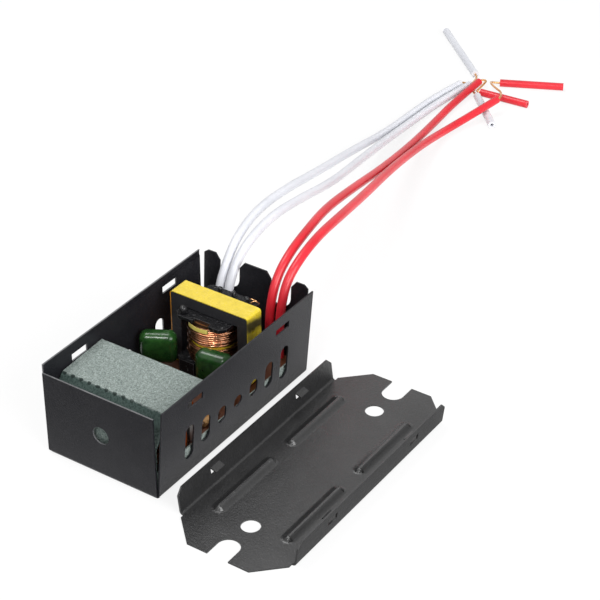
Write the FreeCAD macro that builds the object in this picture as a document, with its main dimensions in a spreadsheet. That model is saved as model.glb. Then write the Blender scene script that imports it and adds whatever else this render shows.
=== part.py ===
import FreeCAD, Part
import math
import os
import Sketcher

# Opened electronic transformer: a bent steel case with its working parts, four leads that lie out
# behind it, and the cover plate lying beside it. The origin is the middle of the case's underside,
# +Y points from the closed front wall to the lead slots, and Z = 0 is the surface it stands on.

SIZES = {
    "sheet": 0.5, "bend_radius": 0.8,
    "case_width": 40.2, "case_length": 75.5,
    "wall_height": 30.6, "front_height": 28.0, "rear_height": 30.0,
    "right_wall_splay": 2.5, "rear_wall_splay": 1.8,
    "front_edge_gap": 0.4, "rear_edge_gap": 0.3, "wall_end_gap": 0.15,
    "vent_width": 4.0, "vent_pitch": 7.85, "vent_centre_height": 12.1,
    "vent_short": 5.8, "vent_medium": 9.1, "vent_long": 11.9,
    "window_length": 6.8, "window_height": 2.4, "window_along": 21.4, "window_centre_height": 25.8,
    "front_hole": 5.7, "front_hole_height": 14.5, "front_hole_across": 0.6,
    "lead_slot_width": 7.5, "lead_slot_spacing": 19.1, "lead_slot_bottom": 19.9,
    "slot_mouth_flare": 1.7, "slot_mouth_depth": 2.2, "rear_tab_corner": 1.4,
    "plate_clearance": 0.1, "plate_length": 95.4, "ear_width": 20.6,
    "flange_length": 77.2, "flange_height": 8.3, "flange_splay": 1.0, "flange_corner": 2.0,
    "ear_notch_width": 7.0, "ear_notch_depth": 8.5,
    "plate_hole": 5.7, "plate_hole_spacing": 64.0,
    "rib_width": 3.9, "rib_crest": 0.7, "rib_length": 28.8, "rib_height": 1.0,
    "rib_across": 23.4, "rib_along": 36.2,
    "catch_clearance": 1.2, "catch_top": 6.0, "catch_height": 2.0, "catch_slit": 0.15,
    "catch_reach": 1.9, "catch_drop": 0.8,
    "plate_aside": 8.8, "plate_shift": 0.5,
    "paper": 0.3, "paper_clearance": 0.1, "paper_side_height": 8.8, "paper_upright": 16.5,
    "fold_setback": 6.6, "fold_height": 24.3, "flap_reach": 18.0, "flap_rise": 0.9,
    "board": 1.6, "board_standoff": 2.0, "board_side_clearance": 0.4, "board_end_clearance": 0.3,
    "transformer_along": 18.3,
    "core_width": 28.0, "core_half_height": 12.25, "core_depth": 7.0, "core_lift": 0.6,
    "core_yoke": 3.8, "core_leg": 3.6, "core_centre_leg": 7.0, "core_corner": 0.8,
    "core_tape": 0.25,
    "column_clearance": 0.15, "column_wall": 0.6, "column_corner": 1.4,
    "flange_wall": 1.0, "bobbin_left": 9.7, "bobbin_right": 8.8, "bobbin_corner": 1.8,
    "front_rail_reach": 8.3, "rear_rail_reach": 9.5, "upper_rear_reach": 10.9, "rail_gap": 0.3,
    "rail_lip": 0.15,
    "notch_across": 0.4, "notch_width": 6.0, "notch_depth": 1.4,
    "pin": 1.0, "pin_height": 1.1, "pin_inset": 1.6, "rear_pin_spacing": 5.0,
    "primary_build": 3.2, "winding_tape": 0.2, "secondary_wire": 0.8,
    "film_width": 11.4, "film_thickness": 5.6, "film_height": 10.6, "film_round": 2.4,
    "film_leg_spacing": 6.0,
    "left_film_across": 13.0, "left_film_along": 6.6, "left_film_turn": 30.0,
    "left_film_lift": 4.8,
    "right_film_across": 8.2, "right_film_along": 6.0, "right_film_turn": 8.0,
    "right_film_lift": 5.8,
    "input_cap_thickness": 5.5, "input_cap_length": 12.0, "input_cap_height": 10.5,
    "input_cap_round": 1.2, "input_cap_across": 14.6, "input_cap_along": 25.0,
    "input_cap_lift": 1.5, "input_cap_pitch": 8.8,
    "leg": 0.7, "joint": 1.9, "joint_tip": 1.0,
    "spreader_width": 30.0, "spreader_margin": 0.4, "spreader": 1.5, "spreader_along": 15.5,
    "spreader_foot": 4.0,
    "transistor_width": 10.0, "transistor_depth": 4.5, "transistor_height": 9.2,
    "transistor_lift": 3.0, "transistor_spacing": 13.0, "transistor_pitch": 2.54,
    "tab": 1.3, "tab_hole": 3.6, "head_clearance": 0.3,
    "screw": 3.0, "screw_head": 5.6, "screw_head_height": 2.0, "screw_clearance": 0.3, "nut": 2.2,
    "toroid": 10.0, "toroid_bore": 5.0, "toroid_height": 4.5, "toroid_across": 2.0, "toroid_along": 3.6,
    "toroid_wire": 0.6, "toroid_winding_width": 2.4,
    "diode": 2.7, "diode_length": 5.2, "fuse": 3.2, "fuse_length": 9.0,
    "resistor": 2.3, "resistor_length": 6.2, "trigger": 1.9, "trigger_length": 4.0,
    "axial_reach": 1.6, "axial_bend": 0.8,
    "input_row": 28.0, "diode_across": 15.0, "diode_pitch": 4.0, "fuse_across": 4.6,
    "left_resistor_across": 15.6, "left_resistor_along": 4.0,
    "right_resistor_across": 13.8, "right_resistor_along": 4.6,
    "trigger_across": 11.2, "trigger_along": 6.4,
    "disc": 6.4, "disc_thickness": 2.6, "disc_lift": 1.5, "disc_leg_spacing": 4.0,
    "disc_across": 8.6, "disc_along": 9.0,
    "lead": 2.9, "copper": 0.8, "slug_bore": 1.2, "slug_bore_depth": 4.0,
    "strand_stub": 1.8,
}

# Routes of the four leads, from the board's top face through the rear slots to the stripped ends.
LEAD_ROUTES = {
    "lead_white_left": [
        (-11.2, 34.2, 4.4), (-11.2, 34.2, 12.8), (-11.1, 35.5, 21.3), (-11.2, 40.2, 28.6),
        (-12.7, 47.8, 32.7), (-15.9, 63.0, 33.6), (-19.2, 83.9, 30.0), (-24.2, 110.0, 22.5),
        (-32.1, 143.2, 12.5), (-37.1, 172.6, 4.5), (-39.4, 193.5, 1.45), (-39.2, 212.7, 1.45),
        (-36.6, 229.5, 1.45),
    ],
    "lead_white_right": [
        (-7.8, 34.2, 4.4), (-7.8, 34.2, 12.8), (-7.8, 35.5, 21.2), (-8.0, 40.2, 28.4),
        (-8.3, 47.9, 32.6), (-9.8, 62.2, 33.6), (-11.7, 81.7, 30.0), (-16.0, 107.1, 22.5),
        (-26.1, 142.1, 12.5), (-33.6, 173.6, 4.5), (-36.1, 194.8, 1.45), (-35.6, 213.0, 1.45),
        (-33.2, 231.2, 1.45),
    ],
    "lead_red_left": [
        (8.4, 34.2, 4.4), (8.4, 34.2, 12.8), (8.1, 35.3, 21.2), (7.6, 39.5, 28.8),
        (7.2, 46.8, 33.4), (5.4, 59.2, 34.8), (-0.1, 78.4, 31.6), (-5.9, 103.4, 25.0),
        (-13.6, 135.2, 15.4), (-22.7, 170.4, 6.0), (-28.6, 196.7, 1.5), (-30.6, 215.1, 1.6),
        (-30.2, 233.0, 2.7),
    ],
    "lead_red_right": [
        (12.1, 34.2, 4.4), (12.1, 34.2, 12.8), (11.9, 35.3, 21.2), (11.4, 39.3, 28.9),
        (11.6, 46.4, 33.6), (10.4, 58.2, 35.2), (6.9, 75.6, 32.2), (0.0, 101.4, 25.5),
        (-10.3, 135.3, 16.2), (-19.1, 170.0, 6.6), (-21.9, 192.4, 1.7), (-18.5, 206.1, 3.2),
        (-14.7, 219.3, 5.4),
    ],
}

# Where each bare strand goes between its straight starts at the lead and at the pulled-off piece.
STRAND_BENDS = {
    "white_left": [(-34.0, 233.0, 0.42), (-30.6, 231.4, 0.42), (-29.6, 227.4, 0.5)],
    "white_right": [(-33.5, 236.6, 1.4)],
    "red_left": [(-28.2, 235.6, 2.7), (-28.0, 232.0, 2.2)],
    "red_right": [(-16.4, 225.6, 5.4), (-20.4, 228.6, 4.6), (-24.4, 232.4, 3.6), (-27.0, 236.6, 2.0)],
}

# The pulled-off pieces of insulation, from the face that the strand meets to the open end.
SLUG_ENDS = {
    "slug_white_left": [(-26.1, 224.4, 1.45), (-9.7, 206.8, 1.45)],
    "slug_white_right": [(-35.8, 240.0, 1.45), (-65.1, 267.4, 1.45)],
    "slug_red_left": [(-26.4, 227.7, 1.45), (-6.6, 228.9, 1.45)],
    "slug_red_right": [(-24.1, 238.9, 1.45), (-2.0, 249.7, 1.45)],
}

doc = FreeCAD.newDocument("electronic_transformer")
sheet = doc.addObject("Spreadsheet::Sheet", "Size")
parts = []


def fill_sheet():
    for row, (alias, number) in enumerate(SIZES.items(), start=1):
        sheet.set(f"A{row}", alias)
        sheet.set(f"B{row}", str(number))
        sheet.setAlias(f"B{row}", alias)
    doc.recompute()


def value(expression):
    """A sheet expression worked out as a plain number."""
    return float(sheet.evalExpression(expression))


def named_body(label):
    body = doc.addObject("PartDesign::Body", label)
    body.Label = label
    parts.append(body)
    return body


def place(piece, x="0", y="0", z="0", axis=(0, 0, 1), turn="0"):
    """Binds a piece's place to the sheet; the turn is in degrees about the axis."""
    piece.Placement = FreeCAD.Placement(
        FreeCAD.Vector(0, 0, 0), FreeCAD.Rotation(FreeCAD.Vector(*axis), value(turn)))
    piece.setExpression("Placement.Base.x", x)
    piece.setExpression("Placement.Base.y", y)
    piece.setExpression("Placement.Base.z", z)


def sketch_on(body, role, name, offset="0"):
    """A sketch on one of the body's own origin planes, moved along that plane's normal."""
    sketch = body.newObject("Sketcher::SketchObject", name)
    plane = next(item for item in body.Origin.OriginFeatures if item.Role == role)
    sketch.AttachmentSupport = [(plane, "")]
    sketch.MapMode = "FlatFace"
    sketch.setExpression("AttachmentOffset.Base.z", offset)
    return sketch


def constrain(sketch, *definition, expression=None):
    index = sketch.addConstraint(Sketcher.Constraint(*definition))
    if expression is not None:
        sketch.setExpression(f"Constraints[{index}]", expression)


def fix_point(sketch, geometry, point, x=None, y=None):
    """Holds a point of a sketch at distances from the sketch's origin that follow the sheet."""
    for kind, expression in (("DistanceX", x), ("DistanceY", y)):
        if expression is not None:
            constrain(sketch, kind, -1, 1, geometry, point, value(expression),
                      expression=expression)


def polygon(sketch, corners):
    """A closed outline of straight lines; a corner given with a radius is rounded by an arc."""
    count = len(corners)
    points = [FreeCAD.Vector(value(corner[0]), value(corner[1]), 0) for corner in corners]
    ends = []
    for index, corner in enumerate(corners):
        point = points[index]
        before = (points[index - 1] - point).normalize()
        after = (points[(index + 1) % count] - point).normalize()
        if len(corner) == 2:
            ends.append((point, point, None))
            continue
        half_angle = before.getAngle(after) / 2
        radius = value(corner[2])
        reach = radius / math.tan(half_angle)
        bisector = (before + after).normalize()
        middle = point + bisector * (radius / math.sin(half_angle) - radius)
        ends.append((point + before * reach, point + after * reach, middle))
    first = sketch.GeometryCount
    for index in range(count):
        sketch.addGeometry(Part.LineSegment(ends[index][1], ends[(index + 1) % count][0]))
    for index, corner in enumerate(corners):
        arriving, leaving = first + (index - 1) % count, first + index
        if len(corner) == 2:
            constrain(sketch, "Coincident", arriving, 2, leaving, 1)
            fix_point(sketch, leaving, 1, *corner)
            continue
        start, end, middle = ends[index]
        arc = sketch.addGeometry(Part.Arc(start, middle, end))
        start_side = 1 if sketch.getPoint(arc, 1).isEqual(start, 1e-6) else 2
        constrain(sketch, "Tangent", arriving, 2, arc, start_side)
        constrain(sketch, "Tangent", arc, 3 - start_side, leaving, 1)
        constrain(sketch, "Radius", arc, value(corner[2]), expression=corner[2])
        meeting = sketch.addGeometry(Part.Point(points[index]), True)
        constrain(sketch, "PointOnObject", meeting, 1, arriving)
        constrain(sketch, "PointOnObject", meeting, 1, leaving)
        fix_point(sketch, meeting, 1, corner[0], corner[1])


def rectangle(sketch, x, y, width, height, *radius):
    """A rectangle given by its middle and its two sizes, with rounded corners if asked for."""
    left, right = f"{x} - ({width}) / 2", f"{x} + ({width}) / 2"
    low, high = f"{y} - ({height}) / 2", f"{y} + ({height}) / 2"
    polygon(sketch, [(left, low, *radius), (right, low, *radius), (right, high, *radius),
                     (left, high, *radius)])


def circle(sketch, x, y, diameter):
    centre = FreeCAD.Vector(value(x), value(y), 0)
    normal = FreeCAD.Vector(0, 0, 1)
    geometry = sketch.addGeometry(Part.Circle(centre, normal, value(diameter) / 2))
    fix_point(sketch, geometry, 3, x, y)
    constrain(sketch, "Diameter", geometry, value(diameter), expression=diameter)


def obround(sketch, x, y, width, length):
    """A slot with round ends, its long way along the sketch's second axis."""
    radius = value(width) / 2
    top_y, low_y = f"{y} + ({length} - {width}) / 2", f"{y} - ({length} - {width}) / 2"
    normal = FreeCAD.Vector(0, 0, 1)
    top_centre = FreeCAD.Vector(value(x), value(top_y), 0)
    low_centre = FreeCAD.Vector(value(x), value(low_y), 0)
    side = FreeCAD.Vector(radius, 0, 0)
    top = sketch.addGeometry(Part.ArcOfCircle(Part.Circle(top_centre, normal, radius), 0, math.pi))
    low_circle = Part.Circle(low_centre, normal, radius)
    low = sketch.addGeometry(Part.ArcOfCircle(low_circle, math.pi, 2 * math.pi))
    left = sketch.addGeometry(Part.LineSegment(top_centre - side, low_centre - side))
    right = sketch.addGeometry(Part.LineSegment(low_centre + side, top_centre + side))
    for one, one_end, other, other_end in ((top, 2, left, 1), (left, 2, low, 1),
                                           (low, 2, right, 1), (right, 2, top, 1)):
        constrain(sketch, "Tangent", one, one_end, other, other_end)
    fix_point(sketch, top, 3, x, top_y)
    fix_point(sketch, low, 3, x, low_y)
    constrain(sketch, "Radius", top, radius, expression=f"({width}) / 2")


def pad(body, sketch, name, length, symmetric=False, reverse=False):
    feature = body.newObject("PartDesign::Pad", name)
    feature.Profile = sketch
    feature.SideType = "Symmetric" if symmetric else "One side"
    feature.Reversed = reverse
    feature.AllowMultiFace = True
    feature.setExpression("Length", length)
    doc.recompute()
    return feature


def pocket(body, sketch, name, length=None, symmetric=False, reverse=False):
    """A cut from the sketch, right through where no length is given, and checked to have cut."""
    before = body.Shape.Volume
    feature = body.newObject("PartDesign::Pocket", name)
    feature.Profile = sketch
    feature.SideType = "Symmetric" if symmetric else "One side"
    feature.Reversed = reverse
    feature.AllowMultiFace = True
    if length is None:
        feature.Type = "ThroughAll"
    else:
        feature.setExpression("Length", length)
    doc.recompute()
    if not feature.Shape.Volume < before:
        raise RuntimeError(f"{body.Label}: {name} cuts nothing")
    return feature


def free_shape(label, shape):
    piece = doc.addObject("Part::Feature", label)
    piece.Label = label
    piece.Shape = shape
    parts.append(piece)
    return piece


def build_case():
    """One steel blank folded up on four sides; the right and rear walls stand splayed outward."""
    body = named_body("case")
    half = "Size.case_width / 2"
    outer_bend, inner_bend = "Size.bend_radius + Size.sheet", "Size.bend_radius"
    section = sketch_on(body, "XZ_Plane", "case_section")
    polygon(section, [
        (f"-{half}", "Size.wall_height"), (f"-{half}", "0", outer_bend), (half, "0", outer_bend),
        (f"{half} + Size.right_wall_splay", "Size.wall_height"),
        (f"{half} + Size.right_wall_splay - Size.sheet", "Size.wall_height"),
        (f"{half} - Size.sheet", "Size.sheet", inner_bend),
        (f"-{half} + Size.sheet", "Size.sheet", inner_bend),
        (f"-{half} + Size.sheet", "Size.wall_height"),
    ])
    length = "Size.case_length - 2 * (Size.sheet + Size.wall_end_gap)"
    pad(body, section, "side_walls", length, symmetric=True)

    end = "Size.case_length / 2"
    foot = f"({end} - Size.sheet - Size.wall_end_gap - Size.bend_radius)"
    front = sketch_on(body, "YZ_Plane", "front_flap_section")
    polygon(front, [
        (f"-({end})", "0", outer_bend), (f"-({end})", "Size.front_height"),
        (f"-({end}) + Size.sheet", "Size.front_height"),
        (f"-({end}) + Size.sheet", "Size.sheet", inner_bend),
        (f"-{foot}", "Size.sheet"), (f"-{foot}", "0"),
    ])
    pad(body, front, "front_flap", "Size.case_width - 2 * Size.front_edge_gap", symmetric=True)
    rear = sketch_on(body, "YZ_Plane", "rear_flap_section")
    polygon(rear, [
        (foot, "0"), (foot, "Size.sheet"), (f"{end} - Size.sheet", "Size.sheet", inner_bend),
        (f"{end} - Size.sheet + Size.rear_wall_splay", "Size.rear_height"),
        (f"{end} + Size.rear_wall_splay", "Size.rear_height"), (end, "0", outer_bend),
    ])
    rear_width = "Size.case_width - 2 * (Size.sheet + Size.rear_edge_gap)"
    pad(body, rear, "rear_flap", rear_width, symmetric=True)

    vents = sketch_on(body, "YZ_Plane", "vent_outlines")
    circle(vents, "0", "Size.vent_centre_height", "Size.vent_width")
    for step, size in ((1, "vent_short"), (2, "vent_medium"), (3, "vent_long")):
        for side in (-1, 1):
            along = f"{side * step} * Size.vent_pitch"
            obround(vents, along, "Size.vent_centre_height", "Size.vent_width", f"Size.{size}")
    for side in (-1, 1):
        rectangle(vents, f"{side} * Size.window_along", "Size.window_centre_height",
                  "Size.window_length", "Size.window_height")
    pocket(body, vents, "vents_and_windows", symmetric=True)

    hole = sketch_on(body, "XZ_Plane", "front_hole_outline")
    circle(hole, "Size.front_hole_across", "Size.front_hole_height", "Size.front_hole")
    pocket(body, hole, "front_hole", reverse=True)
    build_lead_slots(body)


def build_lead_slots(body):
    """Two U slots with flared mouths in the rear wall, and the cut corners of its outer tabs."""
    radius = "Size.lead_slot_width / 2"
    arc_height = f"Size.lead_slot_bottom + {radius}"
    flare_height = "Size.rear_height - Size.slot_mouth_depth"
    above = "Size.rear_height + Size.sheet"
    corner = "Size.case_width / 2 - Size.sheet - Size.rear_edge_gap"
    upper = sketch_on(body, "XZ_Plane", "lead_slot_upper")
    lower = sketch_on(body, "XZ_Plane", "lead_slot_rounds")
    for side in (-1, 1):
        middle = f"{side} * Size.lead_slot_spacing / 2"
        wide = f"({radius} + Size.slot_mouth_flare)"
        polygon(upper, [
            (f"{middle} - {radius}", arc_height), (f"{middle} + {radius}", arc_height),
            (f"{middle} + {radius}", flare_height), (f"{middle} + {wide}", "Size.rear_height"),
            (f"{middle} + {wide}", above), (f"{middle} - {wide}", above),
            (f"{middle} - {wide}", "Size.rear_height"), (f"{middle} - {radius}", flare_height),
        ])
        circle(lower, middle, arc_height, "Size.lead_slot_width")
        polygon(upper, [
            (f"{side} * ({corner} - Size.rear_tab_corner)", "Size.rear_height"),
            (f"{side} * ({corner} + Size.sheet)", "Size.rear_height - Size.rear_tab_corner"),
            (f"{side} * ({corner} + Size.sheet)", above),
            (f"{side} * ({corner} - Size.rear_tab_corner)", above),
        ])
    pocket(body, upper, "lead_slots")
    pocket(body, lower, "lead_slot_bottoms")


def build_cover_plate():
    """The cover that doubles as the mounting plate, turned over with its flanges up."""
    body = named_body("cover_plate")
    half = "(Size.case_width / 2 - Size.sheet - Size.plate_clearance)"
    outer_bend, inner_bend = "Size.bend_radius + Size.sheet", "Size.bend_radius"
    section = sketch_on(body, "XZ_Plane", "plate_section")
    polygon(section, [
        (f"-{half} - Size.flange_splay", "Size.flange_height"), (f"-{half}", "0", outer_bend),
        (half, "0", outer_bend), (f"{half} + Size.flange_splay", "Size.flange_height"),
        (f"{half} + Size.flange_splay - Size.sheet", "Size.flange_height"),
        (f"{half} - Size.sheet", "Size.sheet", inner_bend),
        (f"-{half} + Size.sheet", "Size.sheet", inner_bend),
        (f"-{half} - Size.flange_splay + Size.sheet", "Size.flange_height"),
    ])
    pad(body, section, "channel", "Size.flange_length", symmetric=True)

    relief = f"({half} - Size.sheet - Size.bend_radius)"
    ear, end = "Size.ear_width / 2", "Size.plate_length / 2"
    shoulder = "Size.flange_length / 2"
    step = f"({shoulder} + Size.sheet + Size.bend_radius)"
    floor = sketch_on(body, "XY_Plane", "ear_outline")
    polygon(floor, [
        (relief, f"-{step}"), (relief, step), (ear, end), (f"-{ear}", end),
        (f"-{relief}", step), (f"-{relief}", f"-{step}"), (f"-{ear}", f"-{end}"), (ear, f"-{end}"),
    ])
    pad(body, floor, "ears", "Size.sheet")

    corners = sketch_on(body, "YZ_Plane", "flange_corner_outlines")
    top, drop = "Size.flange_height", "Size.flange_height - Size.flange_corner"
    for side in (-1, 1):
        polygon(corners, [
            (f"{side} * ({shoulder} - Size.flange_corner)", top),
            (f"{side} * {shoulder}", drop), (f"{side} * ({shoulder} + Size.sheet)", drop),
            (f"{side} * ({shoulder} + Size.sheet)", f"{top} + Size.sheet"),
            (f"{side} * ({shoulder} - Size.flange_corner)", f"{top} + Size.sheet"),
        ])
    pocket(body, corners, "flange_corners", symmetric=True)
    build_plate_openings(body, end)
    build_plate_ribs(body)
    build_plate_catches(body, half)
    place(body, x="Size.case_width / 2 + Size.plate_aside" + f" + {half}", y="-Size.plate_shift")


def build_plate_openings(body, end):
    """A screw hole near each end and an open notch in each ear."""
    holes = sketch_on(body, "XY_Plane", "plate_hole_outlines")
    notches = sketch_on(body, "XY_Plane", "ear_notch_outlines")
    rounds = sketch_on(body, "XY_Plane", "ear_notch_rounds")
    notch_centre = f"({end} - Size.ear_notch_depth + Size.ear_notch_width / 2)"
    for side in (-1, 1):
        circle(holes, "0", f"{side} * Size.plate_hole_spacing / 2", "Size.plate_hole")
        circle(rounds, "0", f"{side} * {notch_centre}", "Size.ear_notch_width")
        polygon(notches, [
            ("-Size.ear_notch_width / 2", f"{side} * {notch_centre}"),
            ("Size.ear_notch_width / 2", f"{side} * {notch_centre}"),
            ("Size.ear_notch_width / 2", f"{side} * ({end} + Size.sheet)"),
            ("-Size.ear_notch_width / 2", f"{side} * ({end} + Size.sheet)"),
        ])
    pocket(body, holes, "plate_holes", symmetric=True)
    pocket(body, notches, "ear_notches", symmetric=True)
    pocket(body, rounds, "ear_notch_ends", symmetric=True)


def build_plate_ribs(body):
    """Four pressed stiffening ribs, hollow on the underside."""
    crowns = sketch_on(body, "XY_Plane", "rib_crowns", "Size.sheet / 2")
    hollows = sketch_on(body, "XY_Plane", "rib_hollows")
    for across in (-1, 1):
        for along in (-1, 1):
            x, y = f"{across} * Size.rib_across / 2", f"{along} * Size.rib_along / 2"
            obround(crowns, x, y, "Size.rib_width", "Size.rib_length")
            obround(hollows, x, y, "(Size.rib_width - 2 * Size.sheet)",
                    "(Size.rib_length - 2 * Size.sheet)")
    rise = "(Size.rib_height + Size.sheet / 2)"
    flank = f"-atan((Size.rib_width - Size.rib_crest) / 2 / {rise})"
    ribs = pad(body, crowns, "ribs", rise)
    ribs.setExpression("TaperAngle", flank)
    doc.recompute()
    cut = pocket(body, hollows, "rib_undersides", "Size.rib_height", reverse=True)
    cut.setExpression("TaperAngle", flank)
    doc.recompute()


def build_plate_catches(body, half):
    """Two lanced catches in each flange that snap into the case's windows.

    Each is cut free on three sides, hangs from the upper edge of its opening and is bent inward.
    """
    openings = sketch_on(body, "YZ_Plane", "catch_openings")
    length = "(Size.window_length - 2 * Size.catch_clearance)"
    middle = "Size.catch_top - Size.catch_height / 2"
    for side in (-1, 1):
        rectangle(openings, f"{side} * Size.window_along", middle, length, "Size.catch_height")
    pocket(body, openings, "catch_openings_cut", symmetric=True)
    outer = f"({half} + Size.flange_splay * Size.catch_top / Size.flange_height)"
    inner = f"({outer} - Size.sheet)"
    free_end = f"({inner} - Size.catch_reach)"
    for name, along in (("near", 1), ("far", -1)):
        bends = sketch_on(body, "XZ_Plane", f"{name}_catch_bends", f"{along} * Size.window_along")
        for side in (-1, 1):
            polygon(bends, [
                (f"{side} * {outer}", "Size.catch_top"),
                (f"{side} * {outer}", "Size.catch_top + Size.sheet"),
                (f"{side} * {inner}", "Size.catch_top + Size.sheet"),
                (f"{side} * {free_end}", "Size.catch_top + Size.sheet - Size.catch_drop"),
                (f"{side} * {free_end}", "Size.catch_top - Size.catch_drop"),
                (f"{side} * {inner}", "Size.catch_top"),
            ])
        pad(body, bends, f"{name}_catches", f"{length} - 2 * Size.catch_slit", symmetric=True)


def build_insulating_paper():
    """One folded sheet: floor, two low sides, a front panel, and a flap folded over the parts."""
    body = named_body("insulating_paper")
    half = "(Size.case_width / 2 - Size.sheet - Size.paper_clearance)"
    outer_bend = "Size.bend_radius + Size.paper_clearance"
    section = sketch_on(body, "XZ_Plane", "paper_section")
    polygon(section, [
        (f"-{half}", "Size.paper_side_height"), (f"-{half}", "Size.sheet", outer_bend),
        (half, "Size.sheet", outer_bend), (half, "Size.paper_side_height"),
        (f"{half} - Size.paper", "Size.paper_side_height"),
        (f"{half} - Size.paper", "Size.sheet + Size.paper", f"{outer_bend} - Size.paper"),
        (f"-{half} + Size.paper", "Size.sheet + Size.paper", f"{outer_bend} - Size.paper"),
        (f"-{half} + Size.paper", "Size.paper_side_height"),
    ])
    end = "(Size.case_length / 2 - Size.sheet - Size.bend_radius - Size.paper_clearance)"
    pad(body, section, "paper_tray", f"2 * {end}", symmetric=True)
    fold = f"(-{end} + Size.fold_setback)"
    edge = f"({fold} + Size.flap_reach)"
    rise = "Size.fold_height + Size.flap_rise"
    foot = "Size.sheet + Size.paper / 2"
    flap = sketch_on(body, "YZ_Plane", "paper_flap_section")
    polygon(flap, [
        (f"-{end}", foot), (f"-{end}", "Size.paper_upright"), (fold, "Size.fold_height"),
        (edge, rise), (edge, f"{rise} - Size.paper"),
        (f"{fold} + Size.paper", "Size.fold_height - Size.paper"),
        (f"-{end} + Size.paper", "Size.paper_upright - Size.paper"),
        (f"-{end} + Size.paper", foot),
    ])
    width = "Size.case_width - 2 * (Size.sheet + Size.paper_clearance + Size.paper)"
    pad(body, flap, "paper_flap", width, symmetric=True)


FLOOR_TOP = "(Size.sheet + Size.paper)"
BOARD_BOTTOM = f"({FLOOR_TOP} + Size.board_standoff)"
BOARD_TOP = f"({BOARD_BOTTOM} + Size.board)"
CORE_MIDDLE = f"({BOARD_TOP} + Size.core_lift + Size.core_half_height)"


def build_circuit_board():
    body = named_body("circuit_board")
    outline = sketch_on(body, "XY_Plane", "board_outline")
    width = "(Size.case_width - 2 * (Size.sheet + Size.paper_clearance + Size.paper" \
            " + Size.board_side_clearance))"
    length = "(Size.case_length - 2 * (Size.sheet + Size.bend_radius + Size.paper_clearance" \
             " + Size.paper + Size.board_end_clearance))"
    rectangle(outline, "0", "0", width, length)
    pad(body, outline, "board_sheet", "Size.board")
    place(body, z=BOARD_BOTTOM)


def build_core_half(label, turn):
    """One E-shaped ferrite half, its legs' ends on the plane where the two halves meet."""
    body = named_body(label)
    side, high = "Size.core_width / 2", "Size.core_half_height"
    leg, centre = f"{side} - Size.core_leg", "Size.core_centre_leg / 2"
    window = f"{high} - Size.core_yoke"
    profile = sketch_on(body, "XZ_Plane", f"{label}_profile")
    polygon(profile, [
        (f"-{side}", "0"), (f"-{side}", high, "Size.core_corner"),
        (side, high, "Size.core_corner"), (side, "0"), (leg, "0"), (leg, window),
        (centre, window), (centre, "0"), (f"-{centre}", "0"), (f"-{centre}", window),
        (f"-({leg})", window), (f"-({leg})", "0"),
    ])
    pad(body, profile, f"{label}_block", "Size.core_depth", symmetric=True)
    place(body, y="Size.transformer_along", z=CORE_MIDDLE, axis=(0, 1, 0), turn=turn)


def build_core_tape():
    """The tape band wound round the top, sides and underside of the closed core."""
    body = named_body("core_tape")
    band = sketch_on(body, "XZ_Plane", "tape_band")
    rectangle(band, "0", "0", "Size.core_width + 2 * Size.core_tape",
              "2 * (Size.core_half_height + Size.core_tape)", "Size.core_corner + Size.core_tape")
    rectangle(band, "0", "0", "Size.core_width", "2 * Size.core_half_height", "Size.core_corner")
    pad(body, band, "tape_loop", "Size.core_depth", symmetric=True)
    place(body, y="Size.transformer_along", z=CORE_MIDDLE)


COLUMN_HALF = "(Size.core_centre_leg / 2 + Size.column_clearance + Size.column_wall)"
WINDOW_HALF = "(Size.core_half_height - Size.core_yoke)"
WINDING_HALF = f"({WINDOW_HALF} - Size.flange_wall)"
RAIL_INNER = "(Size.core_depth / 2 + Size.rail_gap)"


def rail_outlines(body, name, offset, rear):
    """The front rail with its wire notch and the rear rail, both clear of the core's faces."""
    left_end, right_end, corner = "Size.bobbin_left", "Size.bobbin_right", "Size.bobbin_corner"
    front = "Size.front_rail_reach"
    left = "(Size.notch_across - Size.notch_width / 2)"
    right = "(Size.notch_across + Size.notch_width / 2)"
    sketch = sketch_on(body, "XY_Plane", name, offset)
    polygon(sketch, [
        (f"-{left_end}", f"-{RAIL_INNER}"), (f"-{left_end}", f"-{front} + {corner}"),
        (f"-{left_end} + {corner}", f"-{front}"), (left, f"-{front}"),
        (left, f"-{front} + Size.notch_depth"), (right, f"-{front} + Size.notch_depth"),
        (right, f"-{front}"), (f"{right_end} - {corner}", f"-{front}"),
        (right_end, f"-{front} + {corner}"), (right_end, f"-{RAIL_INNER}"),
    ])
    polygon(sketch, [
        (f"-{left_end}", RAIL_INNER), (right_end, RAIL_INNER),
        (right_end, f"{rear} - {corner} / 2"), (f"{right_end} - {corner} / 2", rear),
        (f"-{left_end} + {corner} / 2", rear), (f"-{left_end}", f"{rear} - {corner} / 2"),
    ])
    return sketch


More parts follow.
